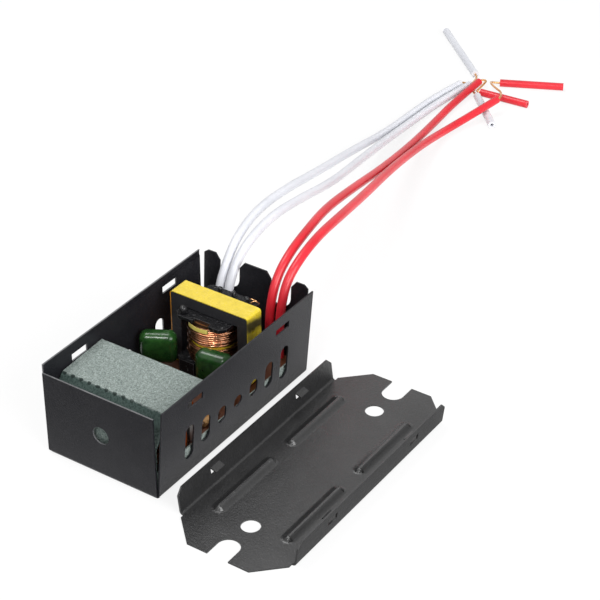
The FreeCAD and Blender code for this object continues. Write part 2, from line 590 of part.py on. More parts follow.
def build_bobbin():
    """A moulded coil former: square column, two flanges, rails that stand beside the core."""
    body = named_body("bobbin")
    column = sketch_on(body, "XY_Plane", "column_outline")
    rectangle(column, "0", "0", f"2 * {COLUMN_HALF}", f"2 * {COLUMN_HALF}", "Size.column_corner")
    pad(body, column, "column", f"2 * {WINDOW_HALF}", symmetric=True)
    for name, start, reverse in (("upper", WINDING_HALF, False), ("lower", f"-{WINDING_HALF}", True)):
        wall = sketch_on(body, "XY_Plane", f"{name}_flange_outline", start)
        polygon(wall, [
            ("-Size.bobbin_left", "-Size.front_rail_reach + Size.bobbin_corner"),
            ("-Size.bobbin_left + Size.bobbin_corner", "-Size.front_rail_reach + Size.notch_depth"),
            ("Size.bobbin_right - Size.bobbin_corner", "-Size.front_rail_reach + Size.notch_depth"),
            ("Size.bobbin_right", "-Size.front_rail_reach + Size.bobbin_corner"),
            ("Size.bobbin_right", "Size.rear_rail_reach - Size.bobbin_corner"),
            ("-Size.bobbin_left", "Size.rear_rail_reach - Size.bobbin_corner"),
        ])
        pad(body, wall, f"{name}_flange", "Size.flange_wall", reverse=reverse)
    upper = rail_outlines(body, "upper_rail_outlines", WINDING_HALF, "Size.upper_rear_reach")
    pad(body, upper, "upper_rails", "Size.flange_wall + Size.rail_lip")
    lower = rail_outlines(body, "lower_rail_outlines", f"-{WINDING_HALF}", "Size.rear_rail_reach")
    drop = f"{CORE_MIDDLE} - {BOARD_TOP} - {WINDING_HALF}"
    pad(body, lower, "lower_rails", drop, reverse=True)
    bore = sketch_on(body, "XY_Plane", "leg_opening_outline")
    inside = "Size.core_centre_leg + 2 * Size.column_clearance"
    rectangle(bore, "0", "0", inside, inside)
    pocket(body, bore, "leg_opening", symmetric=True)
    place(body, y="Size.transformer_along", z=CORE_MIDDLE)


def build_sleeve(label, outer_radius, inner=None):
    """A winding layer between the bobbin's flanges, round outside."""
    body = named_body(label)
    ring = sketch_on(body, "XY_Plane", f"{label}_outline")
    circle(ring, "0", "0", f"2 * {outer_radius}")
    if inner:
        circle(ring, "0", "0", f"2 * {inner}")
    pad(body, ring, f"{label}_layer", f"2 * {WINDING_HALF}", symmetric=True)
    if not inner:
        seat = sketch_on(body, "XY_Plane", f"{label}_seat")
        rectangle(seat, "0", "0", f"2 * {COLUMN_HALF}", f"2 * {COLUMN_HALF}",
                  "Size.column_corner")
        pocket(body, seat, f"{label}_opening", symmetric=True)
    place(body, y="Size.transformer_along", z=CORE_MIDDLE)


PRIMARY_RADIUS = f"({COLUMN_HALF} + Size.primary_build)"
TAPE_RADIUS = f"({PRIMARY_RADIUS} + Size.winding_tape)"


def build_secondary_winding():
    """Side by side turns of heavy wire: one turn's section revolved, then repeated upward."""
    body = named_body("secondary_winding")
    wire = "Size.secondary_wire"
    turns = int(value(f"2 * {WINDING_HALF} / {wire}"))
    first = f"(-{turns} * {wire} / 2)"
    middle = f"({TAPE_RADIUS} + {wire} / 2)"
    section = sketch_on(body, "XZ_Plane", "turn_section")
    corners = [(middle, first), (TAPE_RADIUS, first), (TAPE_RADIUS, f"{first} + {wire}"),
               (middle, f"{first} + {wire}")]
    points = [FreeCAD.Vector(value(x), value(z), 0) for x, z in corners]
    for start, end in zip(points, points[1:]):
        sketch_line = section.addGeometry(Part.LineSegment(start, end))
        fix_point(section, sketch_line, 1, *corners[sketch_line])
    centre = FreeCAD.Vector(value(middle), value(f"{first} + {wire} / 2"), 0)
    bow = Part.Circle(centre, FreeCAD.Vector(0, 0, 1), value(wire) / 2)
    outer = section.addGeometry(Part.ArcOfCircle(bow, -math.pi / 2, math.pi / 2))
    for one, one_end, other, other_end in ((0, 2, 1, 1), (1, 2, 2, 1), (2, 2, outer, 2),
                                           (outer, 1, 0, 1)):
        constrain(section, "Coincident", one, one_end, other, other_end)
    fix_point(section, outer, 3, x=middle)
    fix_point(section, 2, 2, middle, f"{first} + {wire}")
    turn = body.newObject("PartDesign::Revolution", "turn")
    turn.Profile = section
    turn.ReferenceAxis = (section, ["V_Axis"])
    turn.Angle = 360
    doc.recompute()
    stack = body.newObject("PartDesign::LinearPattern", "turns")
    stack.Originals = [turn]
    stack.Direction = (section, ["V_Axis"])
    stack.Occurrences = turns
    stack.setExpression("Length", f"{turns - 1} * {wire}")
    body.Tip = stack
    doc.recompute()
    place(body, y="Size.transformer_along", z=CORE_MIDDLE)


def standing_cylinder(diameter, height, x, y, z):
    return Part.makeCylinder(diameter / 2, height, FreeCAD.Vector(x, y, z))


def build_bobbin_pins():
    """Pin stubs on the upper rails: one at the front and three at the rear."""
    top = value(f"{CORE_MIDDLE} + {WINDOW_HALF} + Size.rail_lip")
    inset = value("Size.pin_inset")
    along = value("Size.transformer_along")
    front = along - value("Size.front_rail_reach") + inset
    rear = along + value("Size.upper_rear_reach") - inset
    spacing = value("Size.rear_pin_spacing")
    left = -value("Size.bobbin_left - Size.bobbin_corner")
    spots = [(left, front), (-spacing, rear), (0, rear), (spacing, rear)]
    pins = [standing_cylinder(value("Size.pin"), value("Size.pin_height"), x, y, top)
            for x, y in spots]
    free_shape("bobbin_pins", Part.makeCompound(pins))


def build_rounded_block(label, width, depth, height, radius, spot, turn="0"):
    """A dipped or moulded block with all its edges rounded, standing over the board."""
    body = named_body(label)
    x, y, lift = spot
    outline = sketch_on(body, "XY_Plane", f"{label}_outline")
    rectangle(outline, "0", "0", width, depth)
    block = pad(body, outline, f"{label}_block", height)
    rounding = body.newObject("PartDesign::Fillet", f"{label}_rounding")
    rounding.Base = (block, [f"Edge{index + 1}" for index in range(len(block.Shape.Edges))])
    rounding.setExpression("Radius", radius)
    doc.recompute()
    place(body, x=x, y=y, z=f"{BOARD_TOP} + {lift}", turn=turn)
    return body


class Legs:
    """Gathers the parts' wire legs, and the solder joint under the board at each of them."""

    def __init__(self):
        self.board_top = value(BOARD_TOP)
        self.wire = value("Size.leg")
        self.shapes = []
        self.spots = []

    def upright(self, x, y, height):
        self.shapes.append(standing_cylinder(self.wire, height, x, y, self.board_top))
        self.spots.append((x, y))

    def pair(self, x, y, spacing, turn, height):
        """Two legs either side of a point, on a line turned by some degrees from X."""
        angle = math.radians(turn)
        for side in (-0.5, 0.5):
            shift_x, shift_y = side * spacing * math.cos(angle), side * spacing * math.sin(angle)
            self.upright(x + shift_x, y + shift_y, height)

    def bent(self, start, direction):
        """A leg that leaves an axial part level and turns down to the board."""
        reach, bend = value("Size.axial_reach"), value("Size.axial_bend")
        down = FreeCAD.Vector(0, 0, -1)
        corner = start + direction * reach
        before = corner - direction * bend
        after = corner + down * bend
        slack = bend * (1 - math.sqrt(0.5))
        middle = corner - direction * slack + down * slack
        foot = FreeCAD.Vector(corner.x, corner.y, self.board_top)
        edges = [Part.LineSegment(start, before).toShape(), Part.Arc(before, middle, after).toShape(),
                 Part.LineSegment(after, foot).toShape()]
        path = Part.Wire(edges)
        section = Part.Wire(Part.makeCircle(self.wire / 2, start, direction))
        self.shapes.append(path.makePipeShell([section], True, False))
        self.spots.append((corner.x, corner.y))

    def build(self):
        free_shape("component_legs", Part.makeCompound(self.shapes))
        height = value("Size.board_standoff")
        base, tip = value("Size.joint") / 2, value("Size.joint_tip") / 2
        floor_top = value(FLOOR_TOP)
        joints = [Part.makeCone(tip, base, height, FreeCAD.Vector(x, y, floor_top))
                  for x, y in self.spots]
        free_shape("solder_joints", Part.makeCompound(joints))


def build_film_capacitors(legs):
    for side, sign in (("left", "-"), ("right", "")):
        x, y = f"{sign}Size.{side}_film_across", f"Size.{side}_film_along"
        turn, lift = f"Size.{side}_film_turn", f"Size.{side}_film_lift"
        build_rounded_block(f"film_capacitor_{side}", "Size.film_width", "Size.film_thickness",
                            "Size.film_height", "Size.film_round", (x, y, lift), turn)
        legs.pair(value(x), value(y), value("Size.film_leg_spacing"), value(turn), value(lift))
    x, y = "Size.input_cap_across", "-Size.input_cap_along"
    build_rounded_block("input_capacitor", "Size.input_cap_thickness", "Size.input_cap_length",
                        "Size.input_cap_height", "Size.input_cap_round",
                        (x, y, "Size.input_cap_lift"))
    legs.pair(value(x), value(y), value("Size.input_cap_pitch"), 90, value("Size.input_cap_lift"))


TAB_HEIGHT = "(Size.transistor_height + Size.screw_head + 2 * Size.head_clearance)"
TAB_HOLE_HEIGHT = "(Size.transistor_lift + Size.transistor_height + Size.head_clearance" \
                  " + Size.screw_head / 2)"


def build_power_stage(legs):
    """Two flat power transistors screwed to an upright metal plate that spreads their heat."""
    spreader_front = value("-Size.spreader_along")
    thickness, board_top = value("Size.spreader"), value(BOARD_TOP)
    lift, tab = value("Size.transistor_lift"), value("Size.tab")
    hole_height = value(TAB_HOLE_HEIGHT)
    body = named_body("heat_spreader")
    profile = sketch_on(body, "YZ_Plane", "spreader_profile")
    top = f"Size.transistor_lift + {TAB_HEIGHT} + Size.spreader_margin"
    polygon(profile, [
        ("0", "0"), ("0", top), ("Size.spreader", top),
        ("Size.spreader", "Size.spreader"), ("Size.spreader_foot", "Size.spreader"),
        ("Size.spreader_foot", "0"),
    ])
    pad(body, profile, "spreader_angle", "Size.spreader_width", symmetric=True)
    holes = sketch_on(body, "XZ_Plane", "spreader_holes")
    for side in (-1, 1):
        circle(holes, f"{side} * Size.transistor_spacing / 2", TAB_HOLE_HEIGHT,
               "Size.screw + Size.screw_clearance")
    pocket(body, holes, "spreader_holes_cut", symmetric=True)
    place(body, y="-Size.spreader_along", z=BOARD_TOP)

    tabs, screws = [], []
    for side, label in ((-1, "transistor_left"), (1, "transistor_right")):
        x = side * value("Size.transistor_spacing") / 2
        width, depth = value("Size.transistor_width"), value("Size.transistor_depth")
        tab_front = spreader_front - tab
        block = doc.addObject("Part::Box", label)
        block.Label = label
        parts.append(block)
        block.setExpression("Length", "Size.transistor_width")
        block.setExpression("Width", "Size.transistor_depth - Size.tab")
        block.setExpression("Height", "Size.transistor_height")
        place(block, x=f"{side} * Size.transistor_spacing / 2 - Size.transistor_width / 2",
              y="-Size.spreader_along - Size.transistor_depth",
              z=f"{BOARD_TOP} + Size.transistor_lift")
        plate = Part.makeBox(width, tab, value(TAB_HEIGHT),
                             FreeCAD.Vector(x - width / 2, tab_front, board_top + lift))
        axis = FreeCAD.Vector(0, 1, 0)
        centre = FreeCAD.Vector(x, tab_front, board_top + hole_height)
        tabs.append(plate.cut(Part.makeCylinder(value("Size.tab_hole") / 2, tab, centre, axis)))
        head_height = value("Size.screw_head_height")
        head = Part.makeCylinder(value("Size.screw_head") / 2, head_height,
                                 centre - axis * head_height, axis)
        grip = tab + thickness
        shank = Part.makeCylinder(value("Size.screw") / 2, grip + value("Size.nut"), centre, axis)
        nut_centre = centre + axis * grip
        nut = Part.makeCylinder(value("Size.screw_head") / 2, value("Size.nut"), nut_centre, axis)
        screws.append(head.fuse(shank).fuse(nut).removeSplitter())
        leg_y = spreader_front - depth + (depth - tab) / 2
        for step in (-1, 0, 1):
            legs.upright(x + step * value("Size.transistor_pitch"), leg_y, lift)
    free_shape("transistor_tabs", Part.makeCompound(tabs))
    free_shape("spreader_screws", Part.makeCompound(screws))


def build_drive_toroid():
    """The small drive ring that times the two transistors, with its three short windings."""
    body = named_body("drive_toroid")
    ring = sketch_on(body, "XY_Plane", "toroid_outline")
    circle(ring, "0", "0", "Size.toroid")
    circle(ring, "0", "0", "Size.toroid_bore")
    pad(body, ring, "toroid_ring", "Size.toroid_height")
    place(body, x="-Size.toroid_across", y="-Size.toroid_along",
          z=f"{BOARD_TOP} + Size.toroid_wire")
    wire, height = value("Size.toroid_wire"), value("Size.toroid_height")
    outer, inner = value("Size.toroid") / 2, value("Size.toroid_bore") / 2
    width = value("Size.toroid_winding_width")
    base = value(BOARD_TOP)
    centre = FreeCAD.Vector(-value("Size.toroid_across"), -value("Size.toroid_along"), base)
    lifted = centre + FreeCAD.Vector(0, 0, wire)
    solid_ring = Part.makeCylinder(outer, height, lifted).cut(Part.makeCylinder(inner, height, lifted))
    windings = []
    for turn in (90, 210, 330):
        band = Part.makeBox(outer - inner + 2 * wire, width, height + 2 * wire,
                            FreeCAD.Vector(inner - wire, -width / 2, 0))
        band.rotate(FreeCAD.Vector(0, 0, 0), FreeCAD.Vector(0, 0, 1), turn)
        band.translate(centre)
        windings.append(band.cut(solid_ring))
    free_shape("drive_windings", Part.makeCompound(windings))


def build_axial_parts(legs):
    """Small parts that lie on the board with a bent leg at each end."""
    diodes = [(f"-Size.diode_across + {seat} * Size.diode_pitch", "-Size.input_row")
              for seat in range(4)]
    groups = {
        "rectifier_diodes": ("diode", diodes),
        "fuse_resistor": ("fuse", [("Size.fuse_across", "-Size.input_row")]),
        "resistors": ("resistor", [
            ("-Size.left_resistor_across", "-Size.left_resistor_along"),
            ("Size.right_resistor_across", "-Size.right_resistor_along"),
        ]),
        "trigger_diode": ("trigger", [("Size.trigger_across", "-Size.trigger_along")]),
    }
    board_top = value(BOARD_TOP)
    along = FreeCAD.Vector(0, 1, 0)
    for label, (size, spots) in groups.items():
        diameter, length = value(f"Size.{size}"), value(f"Size.{size}_length")
        bodies = []
        for x, y in spots:
            axis_start = FreeCAD.Vector(value(x), value(y) - length / 2, board_top + diameter / 2)
            bodies.append(Part.makeCylinder(diameter / 2, length, axis_start, along))
            legs.bent(axis_start, -along)
            legs.bent(axis_start + along * length, along)
        free_shape(label, Part.makeCompound(bodies) if len(bodies) > 1 else bodies[0])


def build_start_capacitor(legs):
    x, y = value("Size.disc_across"), -value("Size.disc_along")
    radius, thickness = value("Size.disc") / 2, value("Size.disc_thickness")
    centre = FreeCAD.Vector(x - thickness / 2, y, legs.board_top + value("Size.disc_lift") + radius)
    disc = Part.makeCylinder(radius, thickness, centre, FreeCAD.Vector(1, 0, 0))
    rim = [edge for edge in disc.Edges if len(edge.Vertexes) == 1]
    free_shape("start_capacitor", disc.makeFillet(thickness / 3, rim))
    leg_inside = (value("Size.disc_leg_spacing") - legs.wire) / 2
    drop = radius - math.sqrt(radius ** 2 - leg_inside ** 2)
    legs.pair(x, y, value("Size.disc_leg_spacing"), 90, value("Size.disc_lift") + drop)


def route_path(points):
    """Straight runs joined by tangent arcs that are as large as the two runs allow."""
    edges, radii = [], []
    start = points[0]
    for before, corner, after in zip(points, points[1:], points[2:]):
        arriving, leaving = corner - before, after - corner
        shorter = min(arriving.Length, leaving.Length)
        half_turn = arriving.getAngle(leaving) / 2
        cut = 0.45 * shorter
        radii.append(cut / math.tan(half_turn))
        inward, outward = arriving.normalize(), leaving.normalize()
        arc_start, arc_end = corner - inward * cut, corner + outward * cut
        bulge = radii[-1] * (1 / math.cos(half_turn) - 1)
        middle = corner + (outward - inward).normalize() * bulge
        edges.append(Part.LineSegment(start, arc_start).toShape())
        edges.append(Part.Arc(arc_start, middle, arc_end).toShape())
        start = arc_end
    edges.append(Part.LineSegment(start, points[-1]).toShape())
    return Part.Wire(edges), radii


def build_tube(label, route, diameter):
    """A round wire swept along its route, checked against its section times its length."""
    points = [FreeCAD.Vector(*point) for point in route]
    path, radii = route_path(points)
    section = Part.Wire(Part.makeCircle(diameter / 2, points[0], points[1] - points[0]))
    tube = path.makePipeShell([section], True, False)
    expected = math.pi * diameter ** 2 / 4 * path.Length
    if abs(tube.Volume / expected - 1) > 0.01:
        raise RuntimeError(f"{label}: volume {tube.Volume:.1f}, expected {expected:.1f}")
    print(f"{label}: length {path.Length:.1f} mm, smallest radii", sorted(round(r, 1) for r in radii)[:3])
    free_shape(label, tube)


def build_leads():
    for label, route in LEAD_ROUTES.items():
        build_tube(label, route, value("Size.lead"))
    for label, ends in SLUG_ENDS.items():
        near, far = FreeCAD.Vector(*ends[0]), FreeCAD.Vector(*ends[1])
        axis = far - near
        strand = label.removeprefix("slug_")
        lead_end = [FreeCAD.Vector(*point) for point in LEAD_ROUTES[f"lead_{strand}"][-2:]]
        out = (lead_end[1] - lead_end[0]).normalize() * value("Size.strand_stub")
        into = (near - far).normalize() * value("Size.strand_stub")
        bends = [FreeCAD.Vector(*point) for point in STRAND_BENDS[strand]]
        build_tube(f"copper_{strand}", [lead_end[1], lead_end[1] + out, *bends, near + into, near],
                   value("Size.copper"))
        piece = Part.makeCylinder(value("Size.lead") / 2, axis.Length, near, axis)
        back = near - far
        bore = Part.makeCylinder(value("Size.slug_bore") / 2, value("Size.slug_bore_depth"), far, back)
        free_shape(label, piece.cut(bore))


def check_document():
    for item in doc.Objects:
        if "Invalid" in item.State or "Error" in item.State:
            raise RuntimeError(f"{item.Label} is in state {item.State}")
    for piece in parts:
        if piece.Shape.isNull() or not piece.Shape.isValid():
            raise RuntimeError(f"{piece.Label} has no valid shape")


def export_parts():
    os.makedirs("parts", exist_ok=True)
    for piece in parts:
        piece.Shape.exportStep(f"parts/{piece.Label}.step")
        print(f"{piece.Label}: {len(piece.Shape.Solids)} solids, {piece.Shape.Volume:.1f} cubic mm")


def main():
    fill_sheet()
    build_case()
    build_cover_plate()
    build_insulating_paper()
    build_circuit_board()
    build_core_half("core_upper", "0")
    build_core_half("core_lower", "180")
    build_core_tape()
    build_bobbin()
    build_sleeve("primary_winding", PRIMARY_RADIUS)
    build_sleeve("winding_tape", TAPE_RADIUS, PRIMARY_RADIUS)
    build_secondary_winding()
    build_bobbin_pins()
    legs = Legs()
    build_film_capacitors(legs)
    build_power_stage(legs)
    build_drive_toroid()
    build_axial_parts(legs)
    build_start_capacitor(legs)
    legs.build()
    build_leads()
    doc.recompute()
    check_document()
    export_parts()


main()
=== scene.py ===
"""Looks of an opened electronic transformer: case, board parts, leads and the cover plate."""

import logging
import math
from dataclasses import dataclass, field
from enum import Enum
from typing import Callable, Sequence

import bmesh
import bpy
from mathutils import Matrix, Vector


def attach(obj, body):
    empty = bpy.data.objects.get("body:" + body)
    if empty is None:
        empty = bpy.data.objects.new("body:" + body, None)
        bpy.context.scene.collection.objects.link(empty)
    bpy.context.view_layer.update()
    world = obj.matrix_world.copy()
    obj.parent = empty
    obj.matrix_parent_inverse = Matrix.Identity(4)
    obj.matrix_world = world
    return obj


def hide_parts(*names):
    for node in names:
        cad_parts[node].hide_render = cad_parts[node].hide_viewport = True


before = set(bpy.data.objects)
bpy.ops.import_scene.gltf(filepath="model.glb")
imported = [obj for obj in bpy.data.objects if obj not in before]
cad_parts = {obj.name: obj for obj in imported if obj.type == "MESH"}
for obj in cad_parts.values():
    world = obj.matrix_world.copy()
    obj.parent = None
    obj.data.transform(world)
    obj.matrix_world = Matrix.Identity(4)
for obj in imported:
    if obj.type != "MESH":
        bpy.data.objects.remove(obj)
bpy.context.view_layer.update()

MM = 0.001
WELD = 1e-6
BODY = "root"
PHOTO_RIGHT = (0.83, 0.56)
log = logging.getLogger("transformer")
Point = tuple[float, float, float]
Colour = tuple[float, float, float]


# Mesh helpers


def deselect_all() -> None:
    """Leaves edit mode and clears the selection."""
    if bpy.context.object and bpy.context.object.mode != "OBJECT":
        bpy.ops.object.mode_set(mode="OBJECT")
    bpy.ops.object.select_all(action="DESELECT")


def make_active(piece: bpy.types.Object) -> None:
    """Selects one piece alone and makes it the active one.

    Args:
        piece: The piece to work on.
    """
    deselect_all()
    piece.select_set(True)
    bpy.context.view_layer.objects.active = piece


def apply_modifier(piece: bpy.types.Object, kind: str, **settings: object) -> None:
    """Adds one modifier, sets it and applies it.

    Args:
        piece: The piece that takes the modifier.
        kind: Blender's modifier type.
        settings: The modifier's own properties.
    """
    make_active(piece)
    modifier = piece.modifiers.new(kind.lower(), kind)
    for name, value in settings.items():
        setattr(modifier, name, value)
    bpy.ops.object.modifier_apply(modifier=modifier.name)


def settle(piece: bpy.types.Object) -> None:
    """Puts a piece's place into its mesh, so that its object stands at the origin.

    Args:
        piece: The piece to settle.
    """
    make_active(piece)
    bpy.ops.object.transform_apply(location=True, rotation=True, scale=True)


def shade(piece: bpy.types.Object, degrees: float = 60.0) -> None:
    """Smooths the piece's shading below an angle.

    Args:
        piece: The piece to shade.
        degrees: Edges sharper than this stay sharp.
    """
    make_active(piece)
    bpy.ops.object.shade_smooth_by_angle(angle=math.radians(degrees))


def dress(piece: bpy.types.Object, *materials: bpy.types.Material) -> None:
    """Gives a piece its materials, the main one first, in place of any others.

    Args:
        piece: The piece.
        materials: The materials.
    """
    piece.data.materials.clear()
    for material in materials:
        piece.data.materials.append(material)


def dress_nodes(material: bpy.types.Material, *nodes: str) -> None:
    """Gives carried-over CAD nodes their material.

    Args:
        material: What they are dressed in.
        nodes: The CAD nodes.
    """
    for node in nodes:
        dress(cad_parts[node], material)
        log.info("dressed %s", node)


def keep(piece: bpy.types.Object) -> None:
    """Lets a finished and dressed piece ride on the frame.

    Args:
        piece: The finished piece.
    """
    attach(piece, BODY)
    log.info("made %s", piece.name)


def eased_copy(node: str, name: str, width: float, *materials: bpy.types.Material) -> bpy.types.Object:
    """Copies a CAD node, joins its loose triangles and rounds its sharp edges a little.

    Args:
        node: The CAD node that the copy stands for.
        name: The copy's name.
        width: The rounding's width in millimetres.
        materials: Its finishes: the last one is for the rounded edges.

    Returns:
        The finished copy.
    """
    make_active(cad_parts[node])
    bpy.ops.object.duplicate()
    piece = bpy.context.object
    piece.name = name
    piece.parent = None
    for key in list(piece.keys()):
        del piece[key]
    bpy.ops.object.mode_set(mode="EDIT")
    bpy.ops.mesh.select_all(action="SELECT")
    bpy.ops.mesh.remove_doubles(threshold=WELD)
    bpy.ops.mesh.dissolve_limited(angle_limit=math.radians(1.0))
    bpy.ops.object.mode_set(mode="OBJECT")
    dress(piece, *materials)
    apply_modifier(piece, "BEVEL", width=width * MM, segments=2, limit_method="ANGLE",
                   angle_limit=math.radians(38.0), material=len(materials) - 1)
    shade(piece)
    apply_modifier(piece, "WEIGHTED_NORMAL", mode="FACE_AREA", weight=100, keep_sharp=True)
    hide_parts(node)
    return piece


def close_ends(piece: bpy.types.Object) -> None:
    """Merges a turned piece's seams, caps its open ends and turns its faces outwards.

    Args:
        piece: The turned piece.
    """
    make_active(piece)
    bpy.ops.object.mode_set(mode="EDIT")
    bpy.ops.mesh.select_all(action="SELECT")
    bpy.ops.mesh.remove_doubles(threshold=WELD)
    bpy.ops.mesh.select_mode(type="EDGE")
    bpy.ops.mesh.select_all(action="DESELECT")
    bpy.ops.mesh.select_non_manifold()
    bpy.ops.mesh.edge_face_add()
    bpy.ops.mesh.select_all(action="SELECT")
    bpy.ops.mesh.normals_make_consistent(inside=False)
    bpy.ops.object.mode_set(mode="OBJECT")


def keep_joined(pieces: Sequence[bpy.types.Object], name: str, material: bpy.types.Material) -> None:
    """Joins pieces that are alike into the first one, dresses it and keeps it.

    Args:
        pieces: The pieces.
        name: The joined piece's name.
        material: Its finish.
    """
    deselect_all()
    for piece in pieces:
        piece.select_set(True)
    joined = pieces[0]
    bpy.context.view_layer.objects.active = joined
    bpy.ops.object.join()
    joined.name = name
    dress(joined, material)
    keep(joined)


def half_outline(name: str, corners: Sequence[tuple[float, float]]) -> bpy.types.Object:
    """Draws half an outline as a chain of edges, ready to be turned around the Z axis.

    Args:
        name: The outline's name.
        corners: How far out and how high each corner is, in millimetres.

    Returns:
        The outline.
    """
    mesh = bpy.data.meshes.new(name)
    shape = bmesh.new()
    points = [shape.verts.new((out * MM, 0, rise * MM)) for out, rise in corners]
    for first, second in zip(points, points[1:]):
        shape.edges.new((first, second))
    shape.to_mesh(mesh)
    shape.free()
    piece = bpy.data.objects.new(name, mesh)
    bpy.context.scene.collection.objects.link(piece)
    return piece


def round_line(name: str, route: Sequence[Point], diameter: float, bend_steps: int,
               round_steps: int) -> bpy.types.Object:
    """Draws a smooth round line.

    Args:
        name: The line's name.
        route: Its control points, in millimetres.
        diameter: Its diameter, in millimetres.
        bend_steps: How finely it bends.
        round_steps: How finely it is round.

    Returns:
        The line as a curve.
    """
    data = bpy.data.curves.new(name, "CURVE")
    data.dimensions = "3D"
    data.resolution_u = bend_steps
    data.bevel_depth = diameter / 2 * MM
    data.bevel_resolution = round_steps
    data.use_fill_caps = True
    spline = data.splines.new("NURBS")
    spline.points.add(len(route) - 1)
    for point, place in zip(spline.points, route):
        point.co = (*(value * MM for value in place), 1.0)
    spline.use_endpoint_u = True
    spline.order_u = 3
    line = bpy.data.objects.new(name, data)
    bpy.context.scene.collection.objects.link(line)
    return line


# Shader helpers


def toned(colour: Colour, factor: float) -> Colour:
    """Makes a colour darker or lighter.

    Args:
        colour: The colour.
        factor: What its parts are multiplied by.

    Returns:
        The new colour.
    """
    return tuple(min(1.0, part * factor) for part in colour)


def arithmetic(operation: str, swapped: bool = False) -> Callable[["Signal", object], "Signal"]:
    """Makes an arithmetic method for signals, which adds one Math node.

    Args:
        operation: The node's operation.
        swapped: Whether the other value comes first.

    Returns:
        The method.
    """
    def method(self: "Signal", other: object) -> "Signal":
        first, second = (other, self) if swapped else (self, other)
        return self.graph.maths(operation, first, second)
    return method


@dataclass
class Signal:
    """One output socket of a graph, with the arithmetic that the finishes use."""

    graph: "Graph"
    socket: bpy.types.NodeSocket
    __add__ = arithmetic("ADD")
    __radd__ = arithmetic("ADD", swapped=True)
    __sub__ = arithmetic("SUBTRACT")
    __rsub__ = arithmetic("SUBTRACT", swapped=True)
    __mul__ = arithmetic("MULTIPLY")
    __truediv__ = arithmetic("DIVIDE")


class Graph:
    """The nodes of a material or a world, with short ways to add and link them."""

    def __init__(self, owner: bpy.types.ID) -> None:
        """Opens the owner's nodes.

        Args:
            owner: The material or world.
        """
        owner.use_nodes = True
        self.nodes = owner.node_tree.nodes
        self.links = owner.node_tree.links

    def put(self, value: object, socket: bpy.types.NodeSocket) -> None:
        """Links a signal to a socket, or sets a plain value on it.

        Args:
            value: A Signal, a number or a colour.
            socket: Where it goes.
        """
        if isinstance(value, Signal):
            self.links.new(value.socket, socket)
        elif isinstance(value, tuple) and socket.type == "RGBA":
            socket.default_value = (*value, 1.0)
        else:
            socket.default_value = value

    def node(self, kind: str, settings: dict[str, object], inputs: dict[object, object],
             output: object = 0) -> Signal:
        """Adds any node: its settings first, then its sockets.

        Args:
            kind: The node's type.
            settings: The node's own properties.
            inputs: Values or signals by socket name or number.
            output: The output's name or number.

        Returns:
            The chosen output.
        """
        made = self.nodes.new(kind)
        for name, value in settings.items():
            setattr(made, name, value)
        for key, value in inputs.items():
            self.put(value, made.inputs[key])
        return Signal(self, made.outputs[output])

    def maths(self, operation: str, *values: object) -> Signal:
        """Adds a Math node.

        Args:
            operation: The node's operation.
            values: Its numbers or signals in order.

        Returns:
            The result.
        """
        return self.node("ShaderNodeMath", {"operation": operation}, dict(enumerate(values)))

    def axes(self, coordinates: str = "Object", unit: float = MM) -> tuple[Signal, Signal, Signal]:
        """Gives the point's X, Y and Z.

        Args:
            coordinates: The kind of coordinates.
            unit: The unit that they are given in.

        Returns:
            The three signals.
        """
        place = self.node("ShaderNodeTexCoord", {}, {}, coordinates)
        split = self.nodes.new("ShaderNodeSeparateXYZ")
        self.put(place, split.inputs[0])
        return tuple(Signal(self, socket) * (1.0 / unit) for socket in split.outputs)

    def ray(self, kind: str) -> Signal:
        """Tells what kind of ray reaches the point.

        Args:
            kind: The Light Path node's output.

        Returns:
            1 for that kind and 0 for any other.
        """
        return self.node("ShaderNodeLightPath", {}, {}, kind)

    def ramp(self, value: Signal, low: float, high: float,
             levels: tuple[float, float] = (0.0, 1.0), kind: str = "SMOOTHSTEP") -> Signal:
        """Steps a signal from one level to another.

        Args:
            value: The signal.
            low: Where the step starts.
            high: Where it ends.
            levels: The levels before and after it.
            kind: The step's shape.

        Returns:
            The stepped signal.
        """
        return self.node("ShaderNodeMapRange", {"interpolation_type": kind}, {
            "Value": value, "From Min": low, "From Max": high,
            "To Min": levels[0], "To Max": levels[1]})

    def blend(self, factor: object, first: object, second: object) -> Signal:
        """Mixes two colours.

        Args:
            factor: How much of the second.
            first: The first colour.
            second: The second colour.

        Returns:
            The mixed colour.
        """
        return self.node("ShaderNodeMix", {"data_type": "RGBA"},
                         {0: factor, 6: first, 7: second}, 2)


